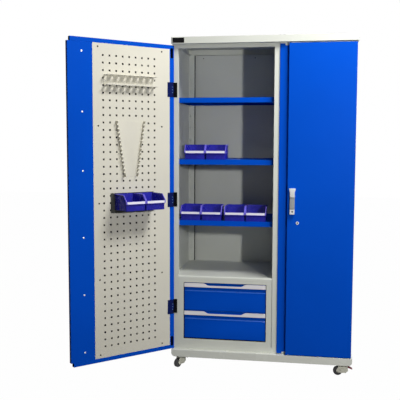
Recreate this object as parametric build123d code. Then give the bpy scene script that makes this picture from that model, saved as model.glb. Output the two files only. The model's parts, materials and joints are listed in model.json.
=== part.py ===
from build123d import *

import math
import os

# Tool cabinet with two hinged doors, shelves, a two-drawer unit, door racks and four casters.
# Millimetres. X is to the right, Y runs from the doors to the back, Z is up.
# The origin is the centre of the underside of the base, where the casters are fixed.

# Cabinet body
CABINET_WIDTH = 1000.0
CABINET_DEPTH = 550.0
BASE_HEIGHT = 40.0
BASE_END_RADIUS = 22.0
BASE_SHEET = 2.0
BASE_LEDGE = 44.0
DOOR_HEIGHT = 1688.0
DOOR_GAP_BELOW = 4.0
DOOR_GAP_ABOVE = 7.0
CAP_HEIGHT = 36.0
CAP_CORNER_RADIUS = 6.0
CAP_RETURN = 26.0
BODY_INSET = 5.0
SHEET = 1.5
POST_WIDTH = 30.0
POST_RETURN = 26.0
TOP_RAIL_HEIGHT = 22.0
BOTTOM_RAIL_HEIGHT = 30.0
RAIL_DEPTH = 28.0
BACK_RETURN = 24.0
CENTRE_POST_WIDTH = 60.0
LEFT_BAY_WIDTH = 526.0
BADGE_WIDTH = 64.0
BADGE_HEIGHT = 27.0
BADGE_THICKNESS = 1.5
BADGE_SIDE_GAP = 3.0
OVERCUT = 1.0

# Doors
DOOR_THICKNESS = 21.0
DOOR_SETBACK = 2.0
DOOR_FRAME_GAP = 7.0
DOOR_SHEET = 1.2
DOOR_BORDER = 22.0
HINGE_BORDER = 28.0
BORDER_SLOT_INSET = 5.0
BORDER_SLOT_WIDTH = 17.0
BORDER_SLOT_HEIGHT = 54.0
BORDER_SLOT_FROM_END = 16.0
LEFT_DOOR_WIDTH = 624.0
LEFT_DOOR_OPEN = 136.4
MEETING_GAP = 8.5
LEFT_STILE_WIDTH = 136.5
LEFT_STILE_LIP = 15.0
RIGHT_STILE_WIDTH = 104.0
MEETING_STRIP_REACH = 49.5
MEETING_STRIP_HOLD = 30.0
MEETING_STRIP_CLEARANCE = 0.8
STRIP_NOTCH_WIDTH = 22.0
STRIP_NOTCH_HEIGHT = 10.0

# Hinges
HINGE_BARREL_RADIUS = 3.2
HINGE_SIDE_OFFSET = 4.0
HINGE_SET_IN = 4.0
HINGE_EDGE_REACH = 2.0
HINGE_NOTCH_DEPTH = 6.0
HINGE_NOTCH_CLEARANCE = 0.5
HINGE_PIN_RADIUS = 1.5
HINGE_LEAF = 2.0
HINGE_LENGTH = 80.0
HINGE_SPACING = 604.0
HINGE_COUNT = 3
DOOR_LEAF_WIDTH = 42.0
FRAME_LEAF_WIDTH = 22.0
RUNNING_CLEARANCE = 0.05
KNUCKLE_GAP = 0.3

# Perforated panel
PEG_PITCH = 38.1
PEG_COLUMNS = 9
PEG_ROWS = 41
PEG_HOLE = 9.5
PEG_FROM_HINGE_EDGE = 124.0
SCREW_RADIUS = 4.5
SCREW_HEAD = 1.6
PANEL_SCREW_SPACING = 402.0
PANEL_SCREW_FREE_INSET = 28.5
PANEL_SCREW_HINGE_INSET = 45.5
STILE_SCREW_INSET = 78.0
STILE_SCREW_HEIGHTS = (172.0, 471.0, 775.0)

# Slotted tool rack
TOOL_RACK_LENGTH = 300.0
TOOL_RACK_HEIGHT = 53.0
TOOL_RACK_DEPTH = 48.0
TOOL_RACK_LIP = 7.0
TOOL_RACK_SLOTS = 8
TOOL_SLOT_WIDTH = 11.0
TOOL_SLOT_LENGTH = 28.0
TOOL_RACK_ROWS_DOWN = 2.6

# Spanner rack
SPANNER_TOP_WIDTH = 163.0
SPANNER_BOTTOM_WIDTH = 73.0
SPANNER_HEIGHT = 293.0
SPANNER_DEPTH = 26.0
SPANNER_TEETH = 13
SPANNER_TOOTH_DEPTH = 18.0
SPANNER_TOOTH_RISE = 4.0
SPANNER_ROWS_DOWN = 8.75
RACK_SHEET = 1.5

# Storage bins
BIN_WIDTH = 117.0
BIN_BODY_WIDTH = 109.0
BIN_LENGTH = 136.0
BIN_HEIGHT = 83.0
BIN_WALL = 2.2
BIN_FRONT_HEIGHT = 50.0
BIN_LABEL_HEIGHT = 15.0
BIN_FRONT_INSET = 7.0
BIN_MOUTH_RUN = 30.0
BIN_GAP = 0.6
BIN_PLATE_LENGTH = 258.0
BIN_PLATE_HEIGHT = 106.0
BIN_PLATE_THICKNESS = 3.0
BIN_PLATE_ROWS_DOWN = 18.65
DOOR_BIN_DROP = 3.5
DOOR_BIN_INSET = 18.0
MIDDLE_SHELF_BINS = (26.2, 143.8)
LOWER_SHELF_BINS = (3.6, 121.2, 252.0, 369.6)

# Shelves
SHELF_PITCH = 342.0
LOW_SHELF_ABOVE_DECK = 308.0
SHELF_SETBACK = 35.0
SHELF_LIP = 28.0
SHELF_FLANGE = 20.0
SHELF_SHEET = 1.2
SHELF_SIDE_CLEARANCE = 0.5
UPRIGHT_WIDTH = 34.0
UPRIGHT_DEPTH = 32.0
WALL_STRIP_WIDTH = 34.0
WALL_STRIP_THICKNESS = 3.0
WALL_STRIP_INSET = 12.0
SLOT_PITCH = 75.0
SLOT_HEIGHT = 14.0
SLOT_WIDTH = 5.0
CLIP_REACH = 14.0
CLIP_WIDTH = 18.0
CLIP_HEIGHT = 7.0

# Drawer unit
DECK_HEIGHT = 460.0
DECK_RIM = 3.0
DECK_RIM_WIDTH = 14.0
DECK_NOSE_HEIGHT = 15.0
DECK_NOSE_RADIUS = 9.0
OPENING_SIDE = 31.0
OPENING_TOP = 38.0
OPENING_BOTTOM = 30.0
DRAWER_GAP = 3.0
DRAWER_TRAVEL = 350.0
FRONT_RECESS = 9.0
FRONT_FOLD_DEPTH = 7.0
FRONT_FOLD_HEIGHT = 27.0
FRONT_DEPTH = 14.0
FRONT_SHEET = 1.2
HANDLE_HEIGHT = 23.0
HANDLE_SHEET = 2.0
HANDLE_DIP = 12.5
HANDLE_DIP_LENGTH = 186.0
HANDLE_DIP_SLOPE = 28.0
HANDLE_OUT = 1.5
TUB_HEIGHT = 112.0
TUB_LENGTH = 410.0
TUB_SHEET = 1.0
TUB_RAISE = 10.0
RUNNER_THICKNESS = 6.0
RUNNER_HEIGHT = 40.0
RUNNER_CLEARANCE = 0.4
HOUSING_BACK_GAP = 12.0

# Lock gear on the right door
HANDLE_FROM_EDGE = 26.0
HANDLE_CENTRE_ABOVE_MIDDLE = 3.0
HOUSING_WIDTH = 26.0
HOUSING_LENGTH = 140.0
HOUSING_THICKNESS = 5.0
LOCK_BLOCK_LENGTH = 26.0
LOCK_BLOCK_DEPTH = 10.0
LEVER_TOP_WIDTH = 37.0
LEVER_THICKNESS = 10.0
LEVER_PIVOT_DROP = 24.0
LEVER_FLARE_LENGTH = 48.0
LEVER_END_GAP = 1.6
LEVER_LIFT = 0.3
SPINDLE_RADIUS = 5.0
KEY_PLUG_RADIUS = 4.5
KEY_SLOT_WIDTH = 1.6
KEY_SLOT_LENGTH = 5.5
KEY_SLOT_DEPTH = 5.0
KEY_RAISE = 2.0
ROUND_LOCK_RADIUS = 8.0
ROUND_LOCK_BARREL = 6.0
ROUND_LOCK_SIDE = 29.0
ROUND_LOCK_DROP = 117.0
ROUND_LOCK_RIM = 2.0
ROUND_LOCK_TONGUE = 20.0
TONGUE_WIDTH = 10.0
TONGUE_THICKNESS = 2.0
CAM_PIN_ORBIT = 12.5
CAM_PIN_RADIUS = 2.0
CAM_PIN_ANGLE = 110.0
CAM_THICKNESS = 3.0
CAM_RIM = 1.0
ROD_WIDTH = 12.0
ROD_THICKNESS = 4.0
ROD_FOOT_WIDTH = 16.6
ROD_SLOT_HEIGHT = 8.2
ROD_TOP_REACH = 5.0
ROD_BOTTOM_REACH = 2.5
ROD_CLEARANCE = 0.5
ROD_FOOT_WALL = 3.0
ROD_PIN_CLEARANCE = 0.3
ROD_GUIDE_HEIGHTS = (405.0, 743.0)

# Casters
CASTER_HEIGHT = 65.0
CASTER_PLATE_WIDTH = 58.0
CASTER_PLATE_DEPTH = 58.0
CASTER_PLATE_THICKNESS = 3.0
CASTER_SIDE_INSET = 48.0
CASTER_FRONT_INSET = 42.0
CASTER_TRAIL = 27.0
WHEEL_RADIUS = 25.0
WHEEL_WIDTH = 20.0
WHEEL_SIDE_CLEARANCE = 0.6
TYRE_ROUND = 5.0
FORK_SHEET = 2.5
AXLE_RADIUS = 4.0
AXLE_END = 1.0
CHEEK_TOE = 6.0
CHEEK_HEEL = 8.0
CHEEK_BELOW_AXLE = 9.0
CHEEK_ABOVE_AXLE = 4.0
SWIVEL_RADIUS = 21.0
SWIVEL_STUD_RADIUS = 6.0
SWIVEL_HEIGHT = 6.0
SWIVEL_GAP = 0.3
PEDAL_LENGTH = 27.0
PEDAL_WALL = 2.0
PEDAL_BEND = 8.0
PEDAL_TIP_DROP = 6.0
PEDAL_THICKNESS = 5.0
PEDAL_PIN_RADIUS = 2.0
PEDAL_PIN_DROP = 9.0
PEDAL_PIN_OUT = 1.0
HOOD_DROP = 18.0
HOOD_TOE = 4.0
CASTER_HEADINGS = {
    "front_left": 240.0,
    "front_right": 180.0,
    "rear_left": 205.0,
    "rear_right": 155.0,
}

# Planes and lines worked out from the sizes above
FRONT_Y = -CABINET_DEPTH / 2
BACK_Y = CABINET_DEPTH / 2
BODY_X = CABINET_WIDTH / 2 - BODY_INSET
WALL_X = BODY_X - SHEET
DOOR_BOTTOM = BASE_HEIGHT + DOOR_GAP_BELOW
DOOR_TOP = DOOR_BOTTOM + DOOR_HEIGHT
DOOR_MIDDLE = (DOOR_BOTTOM + DOOR_TOP) / 2
CAP_BOTTOM = DOOR_TOP + DOOR_GAP_ABOVE
CAP_TOP = CAP_BOTTOM + CAP_HEIGHT
DOOR_FACE_Y = FRONT_Y + DOOR_SETBACK
DOOR_BACK_Y = DOOR_FACE_Y + DOOR_THICKNESS
FRAME_Y = DOOR_BACK_Y + DOOR_FRAME_GAP
HINGE_Y = DOOR_BACK_Y - HINGE_SET_IN
HINGE_X = BODY_X - HINGE_SIDE_OFFSET
HINGE_HEIGHTS = [DOOR_MIDDLE + (i - (HINGE_COUNT - 1) / 2) * HINGE_SPACING for i in range(HINGE_COUNT)]
FLOOR_TOP = BASE_HEIGHT + SHEET
POST_BOTTOM = BASE_HEIGHT + BOTTOM_RAIL_HEIGHT
POST_TOP = CAP_BOTTOM - TOP_RAIL_HEIGHT
LEFT_BAY_X0 = -(BODY_X - POST_WIDTH)
LEFT_BAY_X1 = LEFT_BAY_X0 + LEFT_BAY_WIDTH
CENTRE_POST_X1 = LEFT_BAY_X1 + CENTRE_POST_WIDTH
BACK_PANEL_Y = BACK_Y - 2 * SHEET
LEFT_DOOR_X0 = -HINGE_X - HINGE_EDGE_REACH
LEFT_DOOR_X1 = LEFT_DOOR_X0 + LEFT_DOOR_WIDTH
RIGHT_DOOR_X0 = LEFT_DOOR_X1 + MEETING_GAP
RIGHT_DOOR_X1 = HINGE_X + HINGE_EDGE_REACH
LEFT_STILE_X0 = LEFT_DOOR_X1 - LEFT_STILE_WIDTH
PEG_PANEL_X0 = LEFT_DOOR_X0 + HINGE_BORDER
PEG_PANEL_X1 = LEFT_STILE_X0
PEG_PANEL_Z0 = DOOR_BOTTOM + DOOR_BORDER
PEG_PANEL_Z1 = DOOR_TOP - DOOR_BORDER
PEG_TOP_Z = DOOR_MIDDLE + (PEG_ROWS - 1) / 2 * PEG_PITCH
PEG_X0 = LEFT_DOOR_X0 + PEG_FROM_HINGE_EDGE
PEG_X1 = PEG_X0 + (PEG_COLUMNS - 1) * PEG_PITCH
SHELF_Y0 = FRAME_Y + SHELF_SETBACK
SHELF_Y1 = BACK_PANEL_Y - UPRIGHT_DEPTH - SHELF_SIDE_CLEARANCE
SHELF_HEIGHTS = [DECK_HEIGHT + LOW_SHELF_ABOVE_DECK + i * SHELF_PITCH for i in range(3)]
LEFT_SHELF_X = (-WALL_X + WALL_STRIP_THICKNESS, LEFT_BAY_X1 - WALL_STRIP_THICKNESS)
RIGHT_SHELF_X = (LEFT_BAY_X1 + SHEET + WALL_STRIP_THICKNESS, WALL_X - WALL_STRIP_THICKNESS)
OPENING_X0 = LEFT_BAY_X0 + OPENING_SIDE
OPENING_X1 = LEFT_BAY_X1 - OPENING_SIDE
OPENING_Z0 = POST_BOTTOM + OPENING_BOTTOM
OPENING_Z1 = DECK_HEIGHT - OPENING_TOP
DRAWER_FRONT_HEIGHT = (OPENING_Z1 - OPENING_Z0 - 3 * DRAWER_GAP) / 2
DRAWER_X0 = OPENING_X0 + DRAWER_GAP
DRAWER_X1 = OPENING_X1 - DRAWER_GAP
DRAWER_FACE_Y = FRAME_Y + FRONT_RECESS
TUB_Y0 = DRAWER_FACE_Y + FRONT_DEPTH
TUB_X0 = OPENING_X0 + 2 * RUNNER_THICKNESS + RUNNER_CLEARANCE
TUB_X1 = OPENING_X1 - 2 * RUNNER_THICKNESS - RUNNER_CLEARANCE
HOUSING_Y1 = TUB_Y0 + TUB_LENGTH + HOUSING_BACK_GAP
DRAWER_BOTTOMS = {
    "lower_drawer": OPENING_Z0 + DRAWER_GAP,
    "upper_drawer": OPENING_Z0 + 2 * DRAWER_GAP + DRAWER_FRONT_HEIGHT,
}
HANDLE_X = RIGHT_DOOR_X0 + HANDLE_FROM_EDGE
HANDLE_Z = DOOR_MIDDLE + HANDLE_CENTRE_ABOVE_MIDDLE
HOUSING_Z0 = HANDLE_Z - HOUSING_LENGTH / 2
HOUSING_Z1 = HANDLE_Z + HOUSING_LENGTH / 2
PIVOT_Z = HOUSING_Z1 - LEVER_PIVOT_DROP
HOUSING_FACE_Y = DOOR_FACE_Y - HOUSING_THICKNESS
LEVER_BACK_Y = HOUSING_FACE_Y - LEVER_LIFT
LEVER_FACE_Y = LEVER_BACK_Y - LEVER_THICKNESS
KEY_Z = HOUSING_Z0 + LOCK_BLOCK_LENGTH / 2 + KEY_RAISE
ROUND_LOCK_X = HANDLE_X + ROUND_LOCK_SIDE
ROUND_LOCK_Z = HANDLE_Z - ROUND_LOCK_DROP
COVER_Y = DOOR_BACK_Y - DOOR_SHEET
ROD_Y1 = COVER_Y - DOOR_SHEET
ROD_Y0 = ROD_Y1 - ROD_THICKNESS
CAM_Y1 = ROD_Y0 - ROD_CLEARANCE
CAM_Y0 = CAM_Y1 - CAM_THICKNESS
UPPER_ROD_X = HANDLE_X - ROD_FOOT_WIDTH / 2 - ROD_CLEARANCE
LOWER_ROD_X = HANDLE_X + ROD_FOOT_WIDTH / 2 + ROD_CLEARANCE
CASTER_X = CABINET_WIDTH / 2 - CASTER_SIDE_INSET
CASTER_Y = CABINET_DEPTH / 2 - CASTER_FRONT_INSET
CASTER_PLACES = {
    "front_left": (-CASTER_X, -CASTER_Y),
    "front_right": (CASTER_X, -CASTER_Y),
    "rear_left": (-CASTER_X, CASTER_Y),
    "rear_right": (CASTER_X, CASTER_Y),
}
AXLE_Z = WHEEL_RADIUS - CASTER_HEIGHT
SWIVEL_TOP_Z = -CASTER_PLATE_THICKNESS - SWIVEL_GAP
SWIVEL_LOW_Z = SWIVEL_TOP_Z - SWIVEL_HEIGHT
HOOD_X = SWIVEL_RADIUS + FORK_SHEET
PEDAL_PIN_X = -HOOD_X - PEDAL_PIN_OUT
PEDAL_PIN_Z = SWIVEL_LOW_Z - PEDAL_PIN_DROP
SHELF_BIN_Y = SHELF_Y0 + SHELF_SHEET
SHELF_BINS = [(SHELF_HEIGHTS[1], LEFT_BAY_X0 + x) for x in MIDDLE_SHELF_BINS]
SHELF_BINS += [(SHELF_HEIGHTS[0], LEFT_BAY_X0 + x) for x in LOWER_SHELF_BINS]
BIN_PLATE_Z1 = PEG_TOP_Z - BIN_PLATE_ROWS_DOWN * PEG_PITCH
BIN_PLATE_X1 = PEG_X1 - PEG_PITCH
DOOR_BIN_Z = BIN_PLATE_Z1 - DOOR_BIN_DROP - BIN_HEIGHT
DOOR_BIN_X = BIN_PLATE_X1 - DOOR_BIN_INSET - BIN_WIDTH / 2
DOOR_BIN_CENTRES = [DOOR_BIN_X, DOOR_BIN_X - BIN_WIDTH - BIN_GAP]


def block(x0, x1, y0, y1, z0, z1):
    """A box between two opposite corners."""
    return Pos((x0 + x1) / 2, (y0 + y1) / 2, (z0 + z1) / 2) * Box(x1 - x0, y1 - y0, z1 - z0)


def rod(radius, start, end):
    """A round bar from start to end, along one axis."""
    line = Vector(*end) - Vector(*start)
    plane = Plane(origin=start, z_dir=line)
    return extrude(plane * Circle(radius), line.length)


def slab(points, plane, depth):
    """A plate whose outline is points on plane, grown by depth along the plane's normal."""
    return extrude(plane * make_face(Polyline(*points, close=True)), depth)


def opened(shape):
    """Turn a piece of the left door from closed to its resting open pose."""
    return shape.rotate(Axis((-HINGE_X, HINGE_Y, 0), (0, 0, 1)), -LEFT_DOOR_OPEN)


# Cabinet body


def base_profile(inset):
    """The base seen from the front, with rounded lower ends."""
    half = CABINET_WIDTH / 2 - inset
    radius = BASE_END_RADIUS - inset
    low = inset
    high = BASE_HEIGHT - inset
    outline = Polyline(
        (-half, low + radius), (-half, high), (half, high), (half, low + radius)
    ) + Line((half - radius, low), (-half + radius, low))
    outline += RadiusArc((half, low + radius), (half - radius, low), radius)
    outline += RadiusArc((-half + radius, low), (-half, low + radius), radius)
    return make_face(outline)


def base_frame():
    """A shallow tray: closed below, with a ledge round the top opening."""
    plane = Plane.XZ.offset(-BACK_Y)
    shell = extrude(plane * base_profile(0), CABINET_DEPTH)
    inner_plane = Plane.XZ.offset(-(BACK_Y - BASE_SHEET))
    shell -= extrude(inner_plane * base_profile(BASE_SHEET), CABINET_DEPTH - 2 * BASE_SHEET)
    half = CABINET_WIDTH / 2 - BASE_LEDGE
    high = BASE_HEIGHT + OVERCUT
    return shell - block(-half, half, FRONT_Y + BASE_LEDGE, BACK_Y - BASE_LEDGE, BASE_HEIGHT / 2, high)


def floor_panel():
    """The floor sheet, on the base's ledge."""
    return block(-WALL_X, WALL_X, FRAME_Y, BACK_PANEL_Y, BASE_HEIGHT, FLOOR_TOP)


def side_panel(side):
    """One side of the body: wall, front post with its return, and back return. side is -1 or 1."""
    wall = block(-BODY_X, -WALL_X, FRAME_Y, BACK_Y, BASE_HEIGHT, CAP_BOTTOM)
    wall += block(-BODY_X, LEFT_BAY_X0, FRAME_Y, FRAME_Y + SHEET, POST_BOTTOM, POST_TOP)
    wall += block(LEFT_BAY_X0 - SHEET, LEFT_BAY_X0, FRAME_Y, FRAME_Y + POST_RETURN, POST_BOTTOM, POST_TOP)
    wall += block(-BODY_X, -BODY_X + BACK_RETURN, BACK_Y - SHEET, BACK_Y, BASE_HEIGHT, CAP_BOTTOM)
    return wall if side < 0 else mirror(wall, about=Plane.YZ)


def back_panel():
    """The back sheet, inside the side panels' back returns."""
    return block(-WALL_X, WALL_X, BACK_PANEL_Y, BACK_Y - SHEET, BASE_HEIGHT, CAP_BOTTOM)


def top_cap():
    """The roof tray, open below inside a return flange."""
    half = CABINET_WIDTH / 2
    cap = block(-half, half, FRONT_Y, BACK_Y, CAP_BOTTOM, CAP_TOP)
    cap = fillet(cap.edges().filter_by(Axis.Z), CAP_CORNER_RADIUS)
    hollow = block(
        -half + SHEET, half - SHEET, FRONT_Y + SHEET, BACK_Y - SHEET, CAP_BOTTOM + SHEET, CAP_TOP - SHEET
    )
    cap -= fillet(hollow.edges().filter_by(Axis.Z), CAP_CORNER_RADIUS - SHEET)
    mouth_x = half - CAP_RETURN
    low = CAP_BOTTOM - OVERCUT
    high = CAP_BOTTOM + 2 * SHEET
    return cap - block(-mouth_x, mouth_x, FRONT_Y + CAP_RETURN, BACK_Y - CAP_RETURN, low, high)


def channel_rail(z0, z1):
    """A rail across the front, open to the back."""
    rail = block(-WALL_X, WALL_X, FRAME_Y, FRAME_Y + RAIL_DEPTH, z0, z1)
    return rail - block(-WALL_X, WALL_X, FRAME_Y + SHEET, FRAME_Y + RAIL_DEPTH, z0 + SHEET, z1 - SHEET)


def frame_rails():
    """The rails above and below the posts."""
    return [channel_rail(POST_TOP, CAP_BOTTOM), channel_rail(FLOOR_TOP, POST_BOTTOM)]


def centre_partition():
    """The sheet between the two bays, folded to the post at its front edge."""
    x0 = LEFT_BAY_X1
    partition = block(x0, x0 + SHEET, FRAME_Y + RAIL_DEPTH, BACK_PANEL_Y, FLOOR_TOP, CAP_BOTTOM)
    partition += block(x0, x0 + SHEET, FRAME_Y, FRAME_Y + RAIL_DEPTH, POST_BOTTOM, POST_TOP)
    partition += block(x0, CENTRE_POST_X1, FRAME_Y, FRAME_Y + SHEET, POST_BOTTOM, POST_TOP)
    partition += block(
        CENTRE_POST_X1 - SHEET, CENTRE_POST_X1, FRAME_Y, FRAME_Y + RAIL_DEPTH, POST_BOTTOM, POST_TOP
    )
    return partition


def badge_plate():
    """The bare plate at the left end of the cap."""
    x0 = -CABINET_WIDTH / 2 + BADGE_SIDE_GAP + CAP_CORNER_RADIUS
    z0 = CAP_BOTTOM + (CAP_HEIGHT - BADGE_HEIGHT) / 2
    return block(x0, x0 + BADGE_WIDTH, FRONT_Y - BADGE_THICKNESS, FRONT_Y, z0, z0 + BADGE_HEIGHT)


# Shelving


def slot_heights():
    """Heights of the shelf slots, in even steps up from the deck."""
    count = int((POST_TOP - DECK_HEIGHT) / SLOT_PITCH) - 1
    return [DECK_HEIGHT + (i + 1) * SLOT_PITCH for i in range(count)]


def rear_upright(x0, x1, slot_x, z0):
    """A channel in a back corner, with slots down its face, open to the back."""
    y0 = BACK_PANEL_Y - UPRIGHT_DEPTH
    upright = block(x0, x1, y0, BACK_PANEL_Y, z0, CAP_BOTTOM)
    upright -= block(x0 + SHEET, x1 - SHEET, y0 + SHEET, BACK_PANEL_Y, z0, CAP_BOTTOM)
    near = slot_x - SLOT_WIDTH / 2
    far = near + SLOT_WIDTH
    return upright - [block(near, far, y0, y0 + SHEET, z, z + SLOT_HEIGHT) for z in slot_heights()]


def wall_strip(x0, z0):
    """A slotted strip on a wall, near the front of the shelves."""
    y0 = SHELF_Y0 + WALL_STRIP_INSET
    x1 = x0 + WALL_STRIP_THICKNESS
    strip = block(x0, x1, y0, y0 + WALL_STRIP_WIDTH, z0, CAP_BOTTOM)
    near = y0 + (WALL_STRIP_WIDTH - SLOT_WIDTH) / 2
    return strip - [block(x0, x1, near, near + SLOT_WIDTH, z, z + SLOT_HEIGHT) for z in slot_heights()]


def bay_walls():
    """The faces of the walls that bound each bay, and the height that its strips start at."""
    return [
        (-WALL_X, LEFT_BAY_X1, DECK_HEIGHT),
        (LEFT_BAY_X1 + SHEET, WALL_X, FLOOR_TOP),
    ]


def shelf_uprights():
    """Four uprights to each bay: channels in the back corners, strips at the front."""
    pieces = []
    for x0, x1, z0 in bay_walls():
        pieces.append(rear_upright(x0, x0 + UPRIGHT_WIDTH, x0 + 2 * SLOT_WIDTH, z0))
        pieces.append(rear_upright(x1 - UPRIGHT_WIDTH, x1, x1 - 2 * SLOT_WIDTH, z0))
        pieces.append(wall_strip(x0, z0))
        pieces.append(wall_strip(x1 - WALL_STRIP_THICKNESS, z0))
    return pieces


def shelf(ends, top):
    """A folded shelf: plate, deep front lip with a return, and flanges on the other sides."""
    x0 = ends[0] + SHELF_SIDE_CLEARANCE
    x1 = ends[1] - SHELF_SIDE_CLEARANCE
    low = top - SHELF_FLANGE
    plate = block(x0, x1, SHELF_Y0, SHELF_Y1, top - SHELF_SHEET, top)
    plate += block(x0, x1, SHELF_Y0, SHELF_Y0 + SHELF_SHEET, top - SHELF_LIP, top)
    lip_low = top - SHELF_LIP
    plate += block(x0, x1, SHELF_Y0, SHELF_Y0 + WALL_STRIP_INSET, lip_low, lip_low + SHELF_SHEET)
    plate += block(x0, x1, SHELF_Y1 - SHELF_SHEET, SHELF_Y1, low, top)
    plate += block(x0, x0 + SHELF_SHEET, SHELF_Y0, SHELF_Y1, low, top)
    plate += block(x1 - SHELF_SHEET, x1, SHELF_Y0, SHELF_Y1, low, top)
    return plate


def shelf_clips():
    """Clips under the flanges of every shelf, on the strips and on the back uprights."""
    clips = []
    strip_y = SHELF_Y0 + WALL_STRIP_INSET + WALL_STRIP_WIDTH / 2
    face_y = BACK_PANEL_Y - UPRIGHT_DEPTH
    for x0, x1, _ in bay_walls():
        for top in SHELF_HEIGHTS:
            z1 = top - SHELF_FLANGE
            z0 = z1 - CLIP_HEIGHT
            for wall, inwards in ((x0, 1), (x1, -1)):
                near = wall + inwards * WALL_STRIP_THICKNESS
                far = near + inwards * CLIP_REACH
                front = (min(near, far), max(near, far))
                clips.append(block(*front, strip_y - CLIP_WIDTH / 2, strip_y + CLIP_WIDTH / 2, z0, z1))
                near = wall + inwards * WALL_STRIP_THICKNESS
                far = near + inwards * CLIP_WIDTH
                rear = (min(near, far), max(near, far))
                clips.append(block(*rear, face_y - CLIP_REACH, face_y, z0, z1))
    return clips


# Drawer unit


def drawer_housing():
    """The carcass round the drawers: face frame, sides, bottom and back."""
    top = DECK_HEIGHT - DECK_RIM - SHEET
    face_top = DECK_HEIGHT - DECK_NOSE_HEIGHT
    frame = block(LEFT_BAY_X0, LEFT_BAY_X1, FRAME_Y, FRAME_Y + SHEET, POST_BOTTOM, face_top)
    frame -= block(OPENING_X0, OPENING_X1, FRAME_Y, FRAME_Y + SHEET, OPENING_Z0, OPENING_Z1)
    frame += block(OPENING_X0 - SHEET, OPENING_X0, FRAME_Y, HOUSING_Y1, POST_BOTTOM, top)
    frame += block(OPENING_X1, OPENING_X1 + SHEET, FRAME_Y, HOUSING_Y1, POST_BOTTOM, top)
    frame += block(OPENING_X0, OPENING_X1, FRAME_Y, HOUSING_Y1, OPENING_Z0 - SHEET, OPENING_Z0)
    frame += block(OPENING_X0, OPENING_X1, FRAME_Y, FRAME_Y + RAIL_DEPTH, OPENING_Z1, OPENING_Z1 + SHEET)
    frame += block(OPENING_X0 - SHEET, OPENING_X1 + SHEET, HOUSING_Y1, HOUSING_Y1 + SHEET, POST_BOTTOM, top)
    nose_y1 = FRAME_Y + DECK_NOSE_RADIUS
    frame -= block(OPENING_X0 - SHEET, OPENING_X1 + SHEET, FRAME_Y, nose_y1, face_top, top)
    return frame


def deck_nose():
    """The folded front edge of the tray, rounded above and open below."""
    low = DECK_HEIGHT - DECK_NOSE_HEIGHT
    y1 = FRAME_Y + POST_RETURN
    nose = block(LEFT_BAY_X0, LEFT_BAY_X1, FRAME_Y, y1, low, DECK_HEIGHT)
    edge = nose.edges().filter_by(Axis.X).group_by(Axis.Z)[-1].sort_by(Axis.Y)[0]
    nose = fillet(edge, DECK_NOSE_RADIUS)
    hollow = block(LEFT_BAY_X0, LEFT_BAY_X1, FRAME_Y + SHEET, y1, low, DECK_HEIGHT - SHEET)
    edge = hollow.edges().filter_by(Axis.X).group_by(Axis.Z)[-1].sort_by(Axis.Y)[0]
    return nose - fillet(edge, DECK_NOSE_RADIUS - SHEET)


def drawer_deck():
    """The tray on top of the drawer unit, with a raised rim and a rounded nose at the front."""
    floor = DECK_HEIGHT - DECK_RIM
    deck = block(-WALL_X, LEFT_BAY_X1, FRAME_Y + POST_RETURN, BACK_PANEL_Y, floor - SHEET, DECK_HEIGHT)
    deck += deck_nose()
    deck -= block(
        -WALL_X + DECK_RIM_WIDTH,
        LEFT_BAY_X1 - DECK_RIM_WIDTH,
        FRAME_Y + POST_RETURN + SHEET,
        BACK_PANEL_Y - DECK_RIM_WIDTH,
        floor,
        DECK_HEIGHT,
    )
    deck -= block(
        -WALL_X + SHEET,
        -WALL_X + DECK_RIM_WIDTH - SHEET,
        FRAME_Y + POST_RETURN + SHEET,
        BACK_PANEL_Y - SHEET,
        floor - SHEET,
        DECK_HEIGHT - SHEET,
    )
    return deck


def runner_z(drawer_z0):
    """Lower edge of a drawer's runners."""
    return drawer_z0 + TUB_RAISE + (TUB_HEIGHT - RUNNER_HEIGHT) / 2


def drawer_rails():
    """The fixed halves of the runners, on the housing's sides."""
    rails = []
    for z0 in DRAWER_BOTTOMS.values():
        low = runner_z(z0)
        for x0 in (OPENING_X0, OPENING_X1 - RUNNER_THICKNESS):
            rails.append(block(x0, x0 + RUNNER_THICKNESS, TUB_Y0, HOUSING_Y1, low, low + RUNNER_HEIGHT))
    return rails


def drawer_runners(z0):
    """The moving halves of the runners, on the drawer's sides."""
    low = runner_z(z0)
    pieces = []
    y1 = TUB_Y0 + TUB_LENGTH
    for x0 in (TUB_X0 - RUNNER_THICKNESS, TUB_X1):
        pieces.append(block(x0, x0 + RUNNER_THICKNESS, TUB_Y0, y1, low, low + RUNNER_HEIGHT))
    return pieces


def drawer_tub(z0):
    """The open box of a drawer."""
    low = z0 + TUB_RAISE
    tub = block(TUB_X0, TUB_X1, TUB_Y0, TUB_Y0 + TUB_LENGTH, low, low + TUB_HEIGHT)
    return tub - block(
        TUB_X0 + TUB_SHEET,
        TUB_X1 - TUB_SHEET,
        TUB_Y0 + TUB_SHEET,
        TUB_Y0 + TUB_LENGTH - TUB_SHEET,
        low + TUB_SHEET,
        low + TUB_HEIGHT,
    )


def drawer_front(z0):
    """A folded front: flat below the fold line, leaning back behind the handle above it."""
    top = z0 + DRAWER_FRONT_HEIGHT
    fold = top - HANDLE_HEIGHT - FRONT_FOLD_HEIGHT
    back = DRAWER_FACE_Y + FRONT_DEPTH
    lean = DRAWER_FACE_Y + FRONT_FOLD_DEPTH
    under = top - HANDLE_HEIGHT
    face = DRAWER_FACE_Y
    outline = [(back, z0), (face, z0), (face, fold), (lean, under), (lean, top), (back, top)]
    sheet = FRONT_SHEET
    hollow = [
        (face + sheet, z0 + sheet),
        (face + sheet, fold - sheet / 4),
        (lean + sheet, under - sheet / 4),
        (lean + sheet, top - sheet),
        (back, top - sheet),
        (back, z0 + sheet),
    ]
    front = slab(outline, Plane.YZ.offset(DRAWER_X0), DRAWER_X1 - DRAWER_X0)
    return front - slab(hollow, Plane.YZ.offset(DRAWER_X0 + sheet), DRAWER_X1 - DRAWER_X0 - 2 * sheet)


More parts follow.
